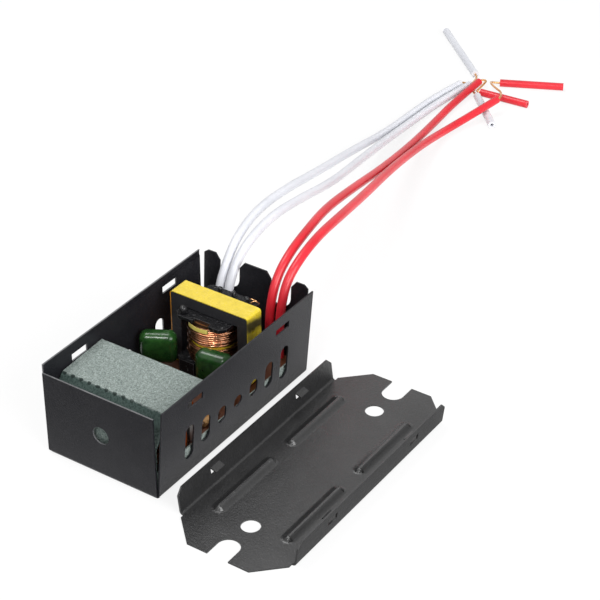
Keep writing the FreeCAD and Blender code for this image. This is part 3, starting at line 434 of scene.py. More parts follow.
class Paint(Graph):
    """A material under construction around one Principled shader."""

    def __init__(self, name: str) -> None:
        """Starts the material.

        Args:
            name: The material's name.
        """
        self.material = bpy.data.materials.new(name)
        super().__init__(self.material)
        self.shader = self.nodes["Principled BSDF"]

    def noise(self, per_mm: float, detail: float = 3.0, roughness: float = 0.55,
              stretch: Point = (1.0, 1.0, 1.0)) -> Signal:
        """Makes noise on the point's place.

        Args:
            per_mm: The number of features to a millimetre.
            detail: The noise's octaves.
            roughness: How strong the finer octaves are.
            stretch: Factors on the three axes.

        Returns:
            A signal around one half.
        """
        place = self.node("ShaderNodeTexCoord", {}, {}, "Object")
        scaled = self.node("ShaderNodeMapping", {}, {"Vector": place, "Scale": stretch})
        return self.node("ShaderNodeTexNoise", {}, {
            "Vector": scaled, "Scale": per_mm / MM, "Detail": detail, "Roughness": roughness})

    def spots(self, low: float, high: float, *noise: object) -> Signal:
        """Makes spots or clouds where the noise is high.

        Args:
            low: The level where a spot starts.
            high: The level where it is full.
            noise: What noise() takes.

        Returns:
            1 in a spot and 0 around it.
        """
        return self.ramp(self.noise(*noise), low, high)

    def rightwards(self, along: float) -> Signal:
        """Measures how far a point lies to the right of the column, as the photograph shows it.

        Args:
            along: Where the column stands in Y, in millimetres.

        Returns:
            The distance in millimetres.
        """
        x, y, _ = self.axes()
        return x * PHOTO_RIGHT[0] + (y - along) * PHOTO_RIGHT[1]

    def bump(self, height: Signal, depth_mm: float, strength: float) -> Signal:
        """Makes a bump from a height signal.

        Args:
            height: The height.
            depth_mm: What 1 stands for in millimetres.
            strength: The bump's strength.

        Returns:
            The bumped normal.
        """
        return self.node("ShaderNodeBump", {}, {
            "Height": height, "Distance": depth_mm * MM, "Strength": strength})

    def finish(self, **inputs: object) -> None:
        """Sets the shader's sockets.

        Args:
            inputs: Socket values, with underscores for spaces in their names.
        """
        for name, value in inputs.items():
            title = name.replace("_", " ").title().replace("Ior", "IOR")
            self.put(value, self.shader.inputs[title])


# Finishes


@dataclass(frozen=True)
class Finish:
    """What every finish has: a name, a main colour and a way to make its material."""

    name: str
    colour: Colour

    def lay(self, paint: Paint) -> None:
        """Lays the finish's own nodes.

        Args:
            paint: The material under construction.
        """
        raise NotImplementedError

    def build(self) -> bpy.types.Material:
        """Makes the finish's material.

        Returns:
            The material.
        """
        paint = Paint(self.name)
        self.lay(paint)
        return paint.material


@dataclass(frozen=True)
class RibPattern:
    """Where the plate's four pressed ribs lie, and how deep their flanks look, in millimetres."""

    middle: tuple[float, float]
    across: float = 23.4
    along: float = 36.2
    length: float = 29.8
    width: float = 5.2
    crest: float = 1.0
    depth: float = 0.75

    def reach(self, paint: Paint) -> Signal:
        """Measures how far a point lies from the nearest rib's middle line.

        Args:
            paint: The plate's material.

        Returns:
            The distance in millimetres.
        """
        x, y, _ = paint.axes()
        sideways = paint.maths("ABSOLUTE", x - self.middle[0]) - self.across / 2
        lengthways = paint.maths("ABSOLUTE", y - self.middle[1]) - self.along / 2
        beyond = paint.maths("ABSOLUTE", lengthways) - (self.length - self.width) / 2
        beyond = paint.maths("MAXIMUM", beyond, 0.0)
        return paint.maths("SQRT", sideways * sideways + beyond * beyond)


@dataclass(frozen=True)
class SheetPaint(Finish):
    """Stoved paint on folded steel sheet, finely grained and a little dusty, with a painted highlight
    along the ribs' crests where it has ribs.
    """

    # Second tone: for the paint's uneven colour, and the base of painted highlights on crests and
    # edges.
    wear_and_highlight_tone: Colour
    roughness: float
    grain_per_mm: float
    grain_mm: float
    specular: float
    ribs: RibPattern | None = None
    dust: Colour = (0.30, 0.30, 0.30)

    def lay(self, paint: Paint) -> None:
        """Lays the painted sheet's nodes."""
        height = paint.noise(self.grain_per_mm, 3.0, 0.65) * self.grain_mm
        cloud = paint.noise(0.09, 4.0, 0.6)
        dust = paint.spots(0.60, 0.74, 1.6, 5.0, 0.75)
        flecks = paint.spots(0.42, 0.64, self.grain_per_mm * 0.8, 3.0, 0.7)
        colour = paint.blend(paint.ramp(cloud, 0.35, 0.7), self.colour, self.wear_and_highlight_tone)
        colour = paint.blend(flecks * 0.35, colour, toned(self.wear_and_highlight_tone, 1.7))
        colour = paint.blend(dust * 0.06, colour, self.dust)
        if self.ribs:
            reach = self.ribs.reach(paint)
            raised = paint.ramp(reach, self.ribs.width / 2, self.ribs.crest / 2)
            # Painted highlight: the ribs' crests are lightened.
            crest_highlight = paint.ramp(reach, self.ribs.crest, self.ribs.crest * 0.2)
            height = height + raised * self.ribs.depth
            colour = paint.blend(crest_highlight * 0.5, colour, toned(self.wear_and_highlight_tone, 3.0))
        rough = cloud * 0.14 + (self.roughness - 0.07) + dust * 0.12
        paint.finish(base_color=colour, roughness=rough, normal=paint.bump(height, 1.0, 0.8),
                     specular_ior_level=self.specular)


@dataclass(frozen=True)
class SpeckledPaper(Finish):
    """Grey-green insulating paper with dark flecks and a row of cuts along its fold."""

    fleck: Colour
    shaded: Colour
    fold_along: float = -29.75
    fold_height: float = 24.3
    cut_pitch: float = 3.05
    cut_half_width: float = 0.75
    cut_half_length: float = 0.45
    last_cut: float = 17.0
    last_clear_cut: float = 2.0

    def cuts(self, paint: Paint) -> Signal:
        """Marks the ragged cuts along the fold, which fade out to the right.

        Args:
            paint: The paper's material.

        Returns:
            1 in a cut and 0 around it.
        """
        x, y, z = paint.axes()
        positive = x + 200.0 * self.cut_pitch
        across = paint.maths("PINGPONG", positive, self.cut_pitch / 2) / self.cut_half_width
        along = (y - (self.fold_along - 0.05)) / self.cut_half_length
        squares = paint.maths("POWER", across, 2.0) + paint.maths("POWER", along, 2.0)
        ragged = (paint.noise(1.3) - 0.5) * 2.6
        inside = paint.ramp(squares + ragged, 1.15, 0.75)
        above = paint.ramp(z, self.fold_height - 2.0, self.fold_height - 1.0)
        return inside * paint.ramp(x, self.last_cut, self.last_clear_cut) * above

    def lay(self, paint: Paint) -> None:
        """Lays the paper's nodes."""
        _, y, z = paint.axes()
        flecks = paint.spots(0.50, 0.57, 1.9, 3.0, 0.75)
        grit = paint.spots(0.53, 0.60, 3.4, 2.0, 0.6)
        bright = paint.spots(0.56, 0.62, 2.3, 2.0, 0.7, (1.0, 1.0, 1.3))
        pale = paint.spots(0.40, 0.66, 1.1, 4.0, 0.6)
        colour = paint.blend(pale, toned(self.colour, 0.8), self.colour)
        colour = paint.blend(flecks * 0.62, colour, self.fleck)
        colour = paint.blend(grit * 0.45, colour, toned(self.fleck, 0.4))
        colour = paint.blend(bright * 0.5, colour, toned(self.colour, 1.5))
        # Painted shade on the front panel below the fold, deepest near the fold.
        border = y + (paint.noise(0.9, 3.0, 0.6) - 0.5) * 0.9
        front = paint.ramp(border, self.fold_along + 0.15, self.fold_along - 0.35)
        fading = paint.ramp(z, self.fold_height - 9.0, self.fold_height - 1.0)
        colour = paint.blend(front * (fading * 0.4 + 0.5), colour, self.shaded)
        colour = paint.blend(front * flecks * 0.6, colour, toned(self.shaded, 0.4))
        cuts = self.cuts(paint)
        # The cuts are painted dark: painted shade seen in the openings.
        colour = paint.blend(cuts * 0.9, colour, toned(self.shaded, 0.35))
        fibres = paint.noise(5.0, 3.0, 0.7)
        paint.finish(base_color=colour, roughness=0.84 - flecks * 0.1,
                     normal=paint.bump(fibres - cuts, 0.05, 0.7), specular_ior_level=0.25)


@dataclass(frozen=True)
class Laminate(Finish):
    """Brown circuit board laminate with its woven sheen."""

    def lay(self, paint: Paint) -> None:
        """Lays the laminate's nodes."""
        warp, weft = (paint.noise(3.0, 2.0, 0.5, stretch)
                      for stretch in ((1.0, 0.15, 1.0), (0.15, 1.0, 1.0)))
        cloth = warp + weft
        sheen = paint.ramp(cloth, 0.8, 1.25)
        colour = paint.blend(sheen, toned(self.colour, 0.75), self.colour)
        paint.finish(base_color=colour, roughness=0.42 + sheen * 0.1,
                     normal=paint.bump(cloth, 0.02, 0.5))


@dataclass(frozen=True)
class Ferrite(Finish):
    """Sintered ferrite: near black and dull, with pits darkened by painted shade and a few painted
    glints.
    """

    # Colour of the painted glints.
    grain: Colour = (0.13, 0.13, 0.135)

    def lay(self, paint: Paint) -> None:
        """Lays the ferrite's nodes."""
        pits = paint.spots(0.62, 0.78, 3.2, 4.0, 0.7)
        grit = paint.noise(2.2, 3.0, 0.65)
        ferrite_glints = paint.spots(0.60, 0.68, 1.7, 3.0, 0.7)
        # Painted shade in the pits, then painted glints.
        colour = paint.blend(pits * 0.7, self.colour, toned(self.colour, 0.45))
        colour = paint.blend(ferrite_glints * 0.35, colour, self.grain)
        paint.finish(base_color=colour, roughness=0.42 + pits * 0.25,
                     normal=paint.bump(grit - pits * 0.4, 0.16, 0.8))


@dataclass(frozen=True)
class FilmTape(Finish):
    """Thin glossy film tape over dark parts, brown along its left face and with a dark band across its
    right face.
    """

    along: float
    edge: Colour = (0.55, 0.15, 0.02)
    pale: Colour = (0.84, 0.68, 0.26)
    dot: Colour = (0.36, 0.22, 0.02)
    right_dark_band: Colour = (0.02, 0.018, 0.012)
    edge_across: float = 14.2
    right_dark_band_height: float = 26.0

    def lay(self, paint: Paint) -> None:
        """Lays the tape's nodes."""
        x, y, z = paint.axes()
        left = paint.ramp(x, 0.6 - self.edge_across, -self.edge_across)
        right = paint.ramp(x, self.edge_across - 0.5, self.edge_across)
        mottle = paint.spots(0.35, 0.7, 0.45, 3.0, 0.55)
        dots = paint.spots(0.58, 0.66, 1.6, 3.0, 0.7)
        pale = paint.spots(0.54, 0.64, 2.0, 4.0, 0.75)
        colour = paint.blend(mottle * 0.5, self.colour, toned(self.colour, 0.75))
        colour = paint.blend(pale * 0.4, colour, self.pale)
        colour = paint.blend(dots * 0.3, colour, self.dot)
        colour = paint.blend(left * 0.85, colour, self.edge)
        # A wavy dark band across the right face, about its set height.
        wave = z + (paint.noise(0.35, 3.0, 0.6) - 0.5) * 3.0 + (y - self.along) * 0.25
        band = paint.ramp(paint.maths("ABSOLUTE", wave - self.right_dark_band_height), 2.9, 0.9)
        colour = paint.blend(right * band * 0.93, colour, self.right_dark_band)
        wrinkle = paint.noise(0.8, 3.0, 0.6, (1.0, 0.35, 1.0))
        paint.finish(base_color=colour, roughness=0.27 + mottle * 0.1,
                     normal=paint.bump(wrinkle, 0.08, 0.5), coat_weight=0.35)


@dataclass(frozen=True)
class VarnishedTape(Finish):
    """Yellow film tape under the copper, brown with varnish except in one uncovered band, which is
    painted in shade towards its right.
    """

    varnish: Colour
    band_low: float
    band_high: float
    along: float

    def lay(self, paint: Paint) -> None:
        """Lays the tape's nodes."""
        _, _, z = paint.axes()
        height = z + (paint.noise(0.5, 2.0, 0.5) - 0.5) * 1.2
        over = paint.ramp(height, self.band_low - 0.2, self.band_low + 0.2)
        under = paint.ramp(height, self.band_high + 0.2, self.band_high - 0.2)
        band_unshaded = paint.ramp(paint.rightwards(self.along), 6.0, 1.0)
        # Painted shade: the uncovered band darkens towards the right, as the copper's sides do.
        colour = paint.blend(over * under * (band_unshaded * 0.8 + 0.2), self.varnish, self.colour)
        paint.finish(base_color=colour, roughness=0.3, coat_weight=0.3,
                     normal=paint.bump(paint.noise(2.0), 0.05, 0.5))


@dataclass(frozen=True)
class MouldedPlastic(Finish):
    """Plain moulded plastic or epoxy; lumps stand for varnish that dried on it."""

    roughness: float
    lumps_mm: float = 0.0
    specular: float = 0.35
    glint: Colour = (0.15, 0.15, 0.155)

    def lay(self, paint: Paint) -> None:
        """Lays the plastic's nodes."""
        skin = paint.noise(6.0, 3.0, 0.6)
        cloud = paint.noise(0.3, 3.0, 0.5)
        lumps = paint.noise(1.5, 3.0, 0.65)
        lighter = tuple(part * 1.5 + 0.008 for part in self.colour)
        colour = paint.blend(cloud * 0.5, self.colour, lighter)
        if self.lumps_mm:
            glints = paint.spots(0.60, 0.68, 0.9, 3.0, 0.65, (1.0, 1.0, 0.6))
            colour = paint.blend(glints * 0.4, colour, self.glint)
        height = skin * 0.02 + lumps * self.lumps_mm
        paint.finish(base_color=colour, roughness=self.roughness + cloud * 0.12,
                     normal=paint.bump(height, 1.0, 0.6), specular_ior_level=self.specular)


@dataclass(frozen=True)
class CopperWire(Finish):
    """Enamelled or bare copper, its turns drawn along one axis, with painted shade between them, where
    they are too fine to model.
    """

    dark: Colour
    roughness: float
    turns_per_mm: float = 0.0
    shaded_sides_along: float = 0.0
    dark_top_low: float = 22.9
    dark_top_high: float = 23.5

    def varnish(self, paint: Paint) -> Signal:
        """Marks painted shade on both sides of the winding, and a darker band along its upper end.

        Args:
            paint: The copper's material.

        Returns:
            1 where the copper is painted dark and 0 where it keeps its colour.
        """
        _, _, z = paint.axes()
        border = paint.rightwards(self.shaded_sides_along) + paint.noise(0.5, 3.0, 0.6) * 2.0
        sides = paint.ramp(paint.maths("ABSOLUTE", border), 2.0, 6.0)
        return paint.maths("MAXIMUM", sides, paint.ramp(z, self.dark_top_low, self.dark_top_high))

    def lay(self, paint: Paint) -> None:
        """Lays the copper's nodes."""
        cloud = paint.spots(0.35, 0.7, 0.8, 4.0, 0.6)
        colour = paint.blend(cloud, self.colour, self.dark)
        if self.shaded_sides_along:
            # Painted shade on both sides of the winding, and darker along its upper end.
            colour = paint.blend(self.varnish(paint) * 0.9, colour, toned(self.dark, 0.1))
        height = paint.noise(4.0, 3.0, 0.6) * 0.3
        if self.turns_per_mm:
            _, _, z = paint.axes()
            wave = paint.maths("SINE", z * (2.0 * math.pi * self.turns_per_mm))
            height = height + wave * 0.5 + 0.5
            # Painted shade in the grooves between the drawn turns.
            colour = paint.blend(paint.ramp(wave, -0.2, -0.95), colour, toned(self.dark, 0.25))
        paint.finish(base_color=colour, roughness=self.roughness + cloud * 0.12,
                     metallic=0.92, normal=paint.bump(height, 0.08, 0.7), coat_weight=0.15)


@dataclass(frozen=True)
class DippedCoat(Finish):
    """Glossy dipped coating with a slight orange-peel surface, with painted shade low down where asked.
    """

    deep: Colour
    painted_shade_height: float = 0.0

    def lay(self, paint: Paint) -> None:
        """Lays the coating's nodes."""
        cloud = paint.spots(0.35, 0.68, 0.35, 4.0, 0.6)
        peel = paint.noise(0.9, 2.0, 0.45)
        specks = paint.spots(0.66, 0.74, 5.0, 2.0, 0.5)
        colour = paint.blend(cloud, self.colour, self.deep)
        colour = paint.blend(specks * 0.25, colour, toned(self.colour, 2.0))
        if self.painted_shade_height:
            _, _, z = paint.axes()
            # Painted shade: darker towards the bottom, down inside the case.
            low_shade = paint.ramp(z, self.painted_shade_height, self.painted_shade_height - 9.0)
            colour = paint.blend(low_shade * 0.85, colour, toned(self.deep, 0.3))
        paint.finish(base_color=colour, roughness=0.17 + cloud * 0.06,
                     normal=paint.bump(peel, 0.14, 0.5), specular_ior_level=0.38)


@dataclass(frozen=True)
class BareMetal(Finish):
    """Rolled, plated or soldered metal."""

    roughness: float
    grain: Point = (1.0, 1.0, 1.0)

    def lay(self, paint: Paint) -> None:
        """Lays the metal's nodes."""
        lines = paint.noise(3.0, 3.0, 0.6, self.grain)
        stain = paint.spots(0.4, 0.72, 0.5, 4.0, 0.6)
        colour = paint.blend(stain * 0.6, self.colour, toned(self.colour, 0.7))
        paint.finish(base_color=colour, roughness=self.roughness + stain * 0.15,
                     metallic=0.95, normal=paint.bump(lines, 0.02, 0.6))


@dataclass(frozen=True)
class LeadSheath(Finish):
    """Smooth soft wire insulation, a little waxy and faintly uneven in colour."""

    shade: Colour

    def lay(self, paint: Paint) -> None:
        """Lays the insulation's nodes."""
        cloud = paint.spots(0.35, 0.7, 0.08, 1.0, 0.4)
        colour = paint.blend(cloud * 0.6, self.colour, self.shade)
        paint.finish(base_color=colour, roughness=0.32, specular_ior_level=0.45)


# Studio


def point_along(thing: bpy.types.Object, direction: Vector) -> None:
    """Turns a camera or a lamp to look along a direction.

    Args:
        thing: The camera or lamp.
        direction: The direction.
    """
    thing.rotation_mode = "QUATERNION"
    thing.rotation_quaternion = direction.to_track_quat("-Z", "Y")


@dataclass(frozen=True)
class Lamp:
    """One soft round lamp, in metres and watts."""

    name: str
    place: Point
    aim: Point
    size: float
    power: float

    def build(self) -> None:
        """Hangs the lamp and turns it to its aim."""
        data = bpy.data.lights.new(self.name, "AREA")
        data.shape = "DISK"
        data.size = self.size
        data.energy = self.power
        lamp = bpy.data.objects.new(self.name, data)
        bpy.context.scene.collection.objects.link(lamp)
        lamp.location = self.place
        point_along(lamp, Vector(self.aim) - Vector(self.place))


@dataclass
class Studio:
    """The camera, the pale floor and room, and the soft lights."""

    place: Point = (0.28752, -0.36247, 0.34430)
    forward: Point = (-0.46679, 0.69148, -0.55132)
    lens_mm: float = 115.13
    nearest: float = 0.01
    farthest: float = 50.0
    floor_size: float = 6.0
    floor_drop: float = 0.00002
    floor_white: Colour = (0.9, 0.9, 0.9)
    glow_share: float = 0.82
    mirrored_share: float = 0.1
    dull_right_mm: tuple[float, float] = (50.0, 72.0)
    dull_front_mm: tuple[float, float] = (-35.0, -60.0)
    room_level: float = 0.38
    lamps: tuple[Lamp, ...] = (
        Lamp("key_lamp", (-0.40, 0.05, 1.0), (0.02, 0.03, 0.0), 0.5, 4.8),
        Lamp("side_lamp", (1.0, -0.25, 0.5), (0.02, 0.03, 0.0), 0.9, 14.0),
        Lamp("camera_lamp", (0.20, -0.72, 0.95), (0.0, 0.02, 0.02), 0.3, 4.6),
    )

    def build_camera(self) -> None:
        """Sets the camera where the photograph was taken from."""
        data = bpy.data.cameras.new("photo_camera")
        data.lens = self.lens_mm
        data.clip_start = self.nearest
        data.clip_end = self.farthest
        camera = bpy.data.objects.new("photo_camera", data)
        bpy.context.scene.collection.objects.link(camera)
        camera.location = self.place
        point_along(camera, Vector(self.forward))
        bpy.context.scene.camera = camera

    def build_floor(self) -> None:
        """Lays the pale floor, which keeps the shadow and glows to the eye and in mirrors."""
        deselect_all()
        bpy.ops.mesh.primitive_plane_add(size=self.floor_size, location=(0, 0, -self.floor_drop))
        floor = bpy.context.object
        floor.name = "floor"
        floor.data.materials.append(bpy.data.materials.new("pale_floor"))
        graph = Graph(floor.data.materials[0])
        graph.nodes.clear()
        x, y, _ = graph.axes()
        dull = graph.maths("MAXIMUM", graph.ramp(x, *self.dull_right_mm, kind="LINEAR"),
                           graph.ramp(y, *self.dull_front_mm, kind="LINEAR"))
        glossy = graph.ray("Is Glossy Ray")
        colour = graph.blend(dull * glossy, (1.0, 1.0, 1.0), (self.mirrored_share,) * 3)
        seen = graph.maths("MAXIMUM", graph.ray("Is Camera Ray"), glossy)
        surface = graph.node("ShaderNodeMixShader", {}, {
            0: seen * self.glow_share,
            1: graph.node("ShaderNodeBsdfDiffuse", {}, {"Color": self.floor_white}),
            2: graph.node("ShaderNodeEmission", {}, {"Color": colour, "Strength": 1.0})})
        graph.put(surface, graph.nodes.new("ShaderNodeOutputMaterial").inputs["Surface"])

    def build_room(self) -> None:
        """Sets the pale room: white to the eye, and duller towards the right in mirrors."""
        world = bpy.data.worlds.new("pale_room")
        bpy.context.scene.world = world
        graph = Graph(world)
        x, _, _ = graph.axes("Generated", 1.0)
        mirrored = graph.ramp(x, 0.35, -0.15, (0.15, 0.88), "LINEAR") * graph.ray("Is Glossy Ray")
        seen = graph.maths("MAXIMUM", graph.ray("Is Camera Ray"), graph.ray("Is Transmission Ray"))
        level = graph.ramp(graph.maths("MAXIMUM", seen, mirrored), 0.0, 1.0,
                           (self.room_level, 1.0), "LINEAR")
        graph.put((1.0, 1.0, 1.0), graph.nodes["Background"].inputs["Color"])
        graph.put(level, graph.nodes["Background"].inputs["Strength"])

    def build(self) -> None:
        """Builds the whole studio."""
        self.build_camera()
        self.build_floor()
        self.build_room()
        for lamp in self.lamps:
            lamp.build()
        bpy.context.scene.view_settings.view_transform = "Standard"


# Leads


class Tint(Enum):
    """The two colours of the leads."""

    WHITE = "white"
    RED = "red"


@dataclass
class Lead:
    """One insulated lead, from the board through its slot and out over the table."""

    side: str
    tint: Tint
    length: float
    route: list[Point]
    diameter: float = 2.9

    def build(self, sheath: bpy.types.Material, strands: bpy.types.Material) -> None:
        """Args:
            sheath: The insulation's material.
            strands: The bare copper's material.
        """
        end = f"{self.tint.value}_{self.side}"
        cord = round_line(f"lead_{end}_cord", self.route, self.diameter, 16, 6)
        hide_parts(f"lead_{end}")
        dress(cord, sheath)
        keep(cord)
        dress_nodes(strands, f"copper_{end}")
        dress_nodes(sheath, f"slug_{end}")


@dataclass
class LeadSet:
    """The four leads, two white and two red."""

    leads: list[Lead] = field(default_factory=lambda: [
        Lead("left", Tint.WHITE, 222.3, [
            (-11.2, 34.2, 4.4), (-11.2, 34.2, 12.8), (-11.1, 35.5, 21.3), (-11.2, 40.2, 28.6),
            (-12.7, 47.8, 32.7), (-15.9, 63.0, 33.6), (-19.2, 83.9, 30.0), (-24.2, 110.0, 22.5),
            (-32.1, 143.2, 12.5), (-37.1, 172.6, 4.5), (-39.4, 193.5, 1.45),
            (-39.2, 212.7, 1.45), (-36.6, 229.5, 1.45)]),
        Lead("right", Tint.WHITE, 224.1, [
            (-7.8, 34.2, 4.4), (-7.8, 34.2, 12.8), (-7.8, 35.5, 21.2), (-8.0, 40.2, 28.4),
            (-8.3, 47.9, 32.6), (-9.8, 62.2, 33.6), (-11.7, 81.7, 30.0), (-16.0, 107.1, 22.5),
            (-26.1, 142.1, 12.5), (-33.6, 173.6, 4.5), (-36.1, 194.8, 1.45),
            (-35.6, 213.0, 1.45), (-33.2, 231.2, 1.45)]),
        Lead("left", Tint.RED, 228.4, [
            (8.4, 34.2, 4.4), (8.4, 34.2, 12.8), (8.1, 35.3, 21.2), (7.6, 39.5, 28.8),
            (7.2, 46.8, 33.4), (5.4, 59.2, 34.8), (-0.1, 78.4, 31.6), (-5.9, 103.4, 25.0),
            (-13.6, 135.2, 15.4), (-22.7, 170.4, 6.0), (-28.6, 196.7, 1.5), (-30.6, 215.1, 1.6),
            (-30.2, 233.0, 2.7)]),
        Lead("right", Tint.RED, 215.7, [
            (12.1, 34.2, 4.4), (12.1, 34.2, 12.8), (11.9, 35.3, 21.2), (11.4, 39.3, 28.9),
            (11.6, 46.4, 33.6), (10.4, 58.2, 35.2), (6.9, 75.6, 32.2), (0.0, 101.4, 25.5),
            (-10.3, 135.3, 16.2), (-19.1, 170.0, 6.6), (-21.9, 192.4, 1.7), (-18.5, 206.1, 3.2),
            (-14.7, 219.3, 5.4)]),
    ])

    def build(self) -> None:
        """Makes the leads, their bare strands and the pulled-off ends."""
        sheaths = {
            Tint.WHITE: LeadSheath("white_insulation", (0.65, 0.66, 0.70), (0.59, 0.60, 0.645)).build(),
            Tint.RED: LeadSheath("red_insulation", (0.64, 0.020, 0.033), (0.50, 0.013, 0.022)).build(),
        }
        strands = CopperWire("bare_strands", (0.83, 0.50, 0.22), (0.60, 0.30, 0.12), 0.3).build()
        for lead in self.leads:
            lead.build(sheaths[lead.tint], strands)


# Case and cover plate


@dataclass
class Housing:
    """The folded case and its cover plate, in millimetres."""

    edge: float = 0.09
    sheet: float = 0.5
    side: float = 20.1
    front: float = -37.75
    fold: float = 1.5
    slack: float = 0.05
    tilt: float = 0.4

    def is_cut_edge(self, middle: Vector, normal: Vector) -> bool:
        """Says whether a face lies across the sheet in the front or an upright side wall.

        Args:
            middle: The face's middle.
            normal: The face's normal.

        Returns:
            True for a cut edge, as in a vent or along a rim.
        """
        x, y, z = middle / MM
        in_side = self.side - self.sheet - self.slack < abs(x) < self.side + self.slack
        in_front = y < self.front + self.sheet + self.slack
        across = (in_side and abs(normal.x) < self.tilt) or (in_front and abs(normal.y) < self.tilt)
        return across and z > self.fold

    def highlight_cut_edges(self, piece: bpy.types.Object) -> None:
        """Gives the faces across the sheet the painted highlight of the rounded edges.

        Args:
            piece: The case's copy, with the painted edge highlight as its last material.
        """
        for face in piece.data.polygons:
            if self.is_cut_edge(face.center, face.normal):
                face.material_index = len(piece.data.materials) - 1

    def build(self) -> None:
        """Rounds and dresses both sheet metal pieces."""
        corners = [Vector(corner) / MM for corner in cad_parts["cover_plate"].bound_box]
        middle = sum(corners, Vector()) / len(corners)
        black = SheetPaint("black_stoved_paint", (0.0085, 0.0085, 0.011), (0.013, 0.013, 0.0155),
                           roughness=0.34, grain_per_mm=2.2, grain_mm=0.20, specular=0.20).build()
        textured = SheetPaint("textured_grey_paint", (0.013, 0.013, 0.0135), (0.018, 0.018, 0.0185),
                              roughness=0.33, grain_per_mm=1.5, grain_mm=0.16, specular=0.76,
                              ribs=RibPattern((middle.x, middle.y))).build()
        # Painted highlight: lighter paint on the rounded edges and on the cut edges of vents and rims.
        rim = SheetPaint("painted_edge_highlights", (0.06, 0.06, 0.065), (0.12, 0.12, 0.125),
                         roughness=0.30, grain_per_mm=2.2, grain_mm=0.02, specular=0.6).build()
        case = eased_copy("case", "folded_case", self.edge, black, rim)
        self.highlight_cut_edges(case)
        keep(case)
        keep(eased_copy("cover_plate", "slotted_plate", self.edge, textured, rim))


# Wound core


@dataclass
class Coil:
    """Turns of round wire around the upright column, wound by hand and so not quite even."""

    low: float
    high: float
    radius: float
    wire: float
    turns: int
    sway: float
    steps: int = 40
    wire_sides: int = 8
    sway_size: float = 4.0

    def build(self, name: str, along: float) -> bpy.types.Object:
        """Winds one coil.

        Args:
            name: The coil's name.
            along: Where its axis stands in Y, in millimetres.

        Returns:
            The coil as one closed mesh.
        """
        deselect_all()
        bpy.ops.mesh.primitive_circle_add(
            vertices=self.wire_sides, radius=self.wire / 2 * MM, fill_type="NOTHING",
            location=(self.radius * MM, 0, self.low * MM), rotation=(math.pi / 2, 0, 0))
        coil = bpy.context.object
        coil.name = name
        settle(coil)
        apply_modifier(coil, "SCREW", axis="Z", angle=2 * math.pi, iterations=self.turns,
                       screw_offset=(self.high - self.low) / self.turns * MM, steps=self.steps,
                       render_steps=self.steps)
        close_ends(coil)
        clouds = bpy.data.textures.new(f"{name}_sway", "CLOUDS")
        clouds.noise_scale = self.sway_size * MM
        clouds.cloud_type = "COLOR"
        apply_modifier(coil, "DISPLACE", texture=clouds, texture_coords="LOCAL",
                       direction="RGB_TO_XYZ", strength=self.sway * MM)
        coil.location.y = along * MM
        settle(coil)
        shade(coil)
        return coil


@dataclass
class Bead:
    """A drop of varnish around a pin, turned from half its outline."""

    across: float
    along: float
    radius: float
    sides: int = 20

    def build(self, name: str, base: float) -> bpy.types.Object:
        """Turns one bead.

        Args:
            name: The bead's name.
            base: The height that it stands on, in millimetres.

        Returns:
            The bead as one closed mesh.
        """
        shares = [(0.75, -0.05), (0.55, 0.25), (0.92, 0.70), (1.0, 1.10), (0.78, 1.55),
                  (0.35, 1.82), (0.0, 1.88)]
        bead = half_outline(name, [(out * self.radius, rise * self.radius) for out, rise in shares])
        apply_modifier(bead, "SCREW", axis="Z", angle=2 * math.pi, steps=self.sides,
                       render_steps=self.sides, use_merge_vertices=True, merge_threshold=WELD)
        close_ends(bead)
        apply_modifier(bead, "SUBSURF", levels=1, render_levels=1)
        bead.location = (self.across * MM, self.along * MM, base * MM)
        settle(bead)
        shade(bead)
        return bead


@dataclass
class TapeEnd:
    """The short curved end of tape that shows through the lip's notch, over the copper."""

    radius: float = 8.62
    low: float = 22.75
    high: float = 24.1
    thickness: float = 0.12
    edge: float = 0.04
    sweep: float = 52.0
    turn: float = -122.0
    steps: int = 10

    def build(self, along: float) -> bpy.types.Object:
        """Bends the tape's end around the column.

        Args:
            along: Where the column stands in Y, in millimetres.

        Returns:
            The tape's end.
        """
        piece = half_outline("tape_end", [(self.radius, self.low), (self.radius, self.high)])
        apply_modifier(piece, "SCREW", axis="Z", angle=math.radians(self.sweep), steps=self.steps,
                       render_steps=self.steps)
        apply_modifier(piece, "SOLIDIFY", thickness=self.thickness * MM)
        apply_modifier(piece, "BEVEL", width=self.edge * MM, segments=1)
        piece.rotation_euler.z = math.radians(self.turn)
        piece.location.y = along * MM
        settle(piece)
        shade(piece, 35.0)
        return piece


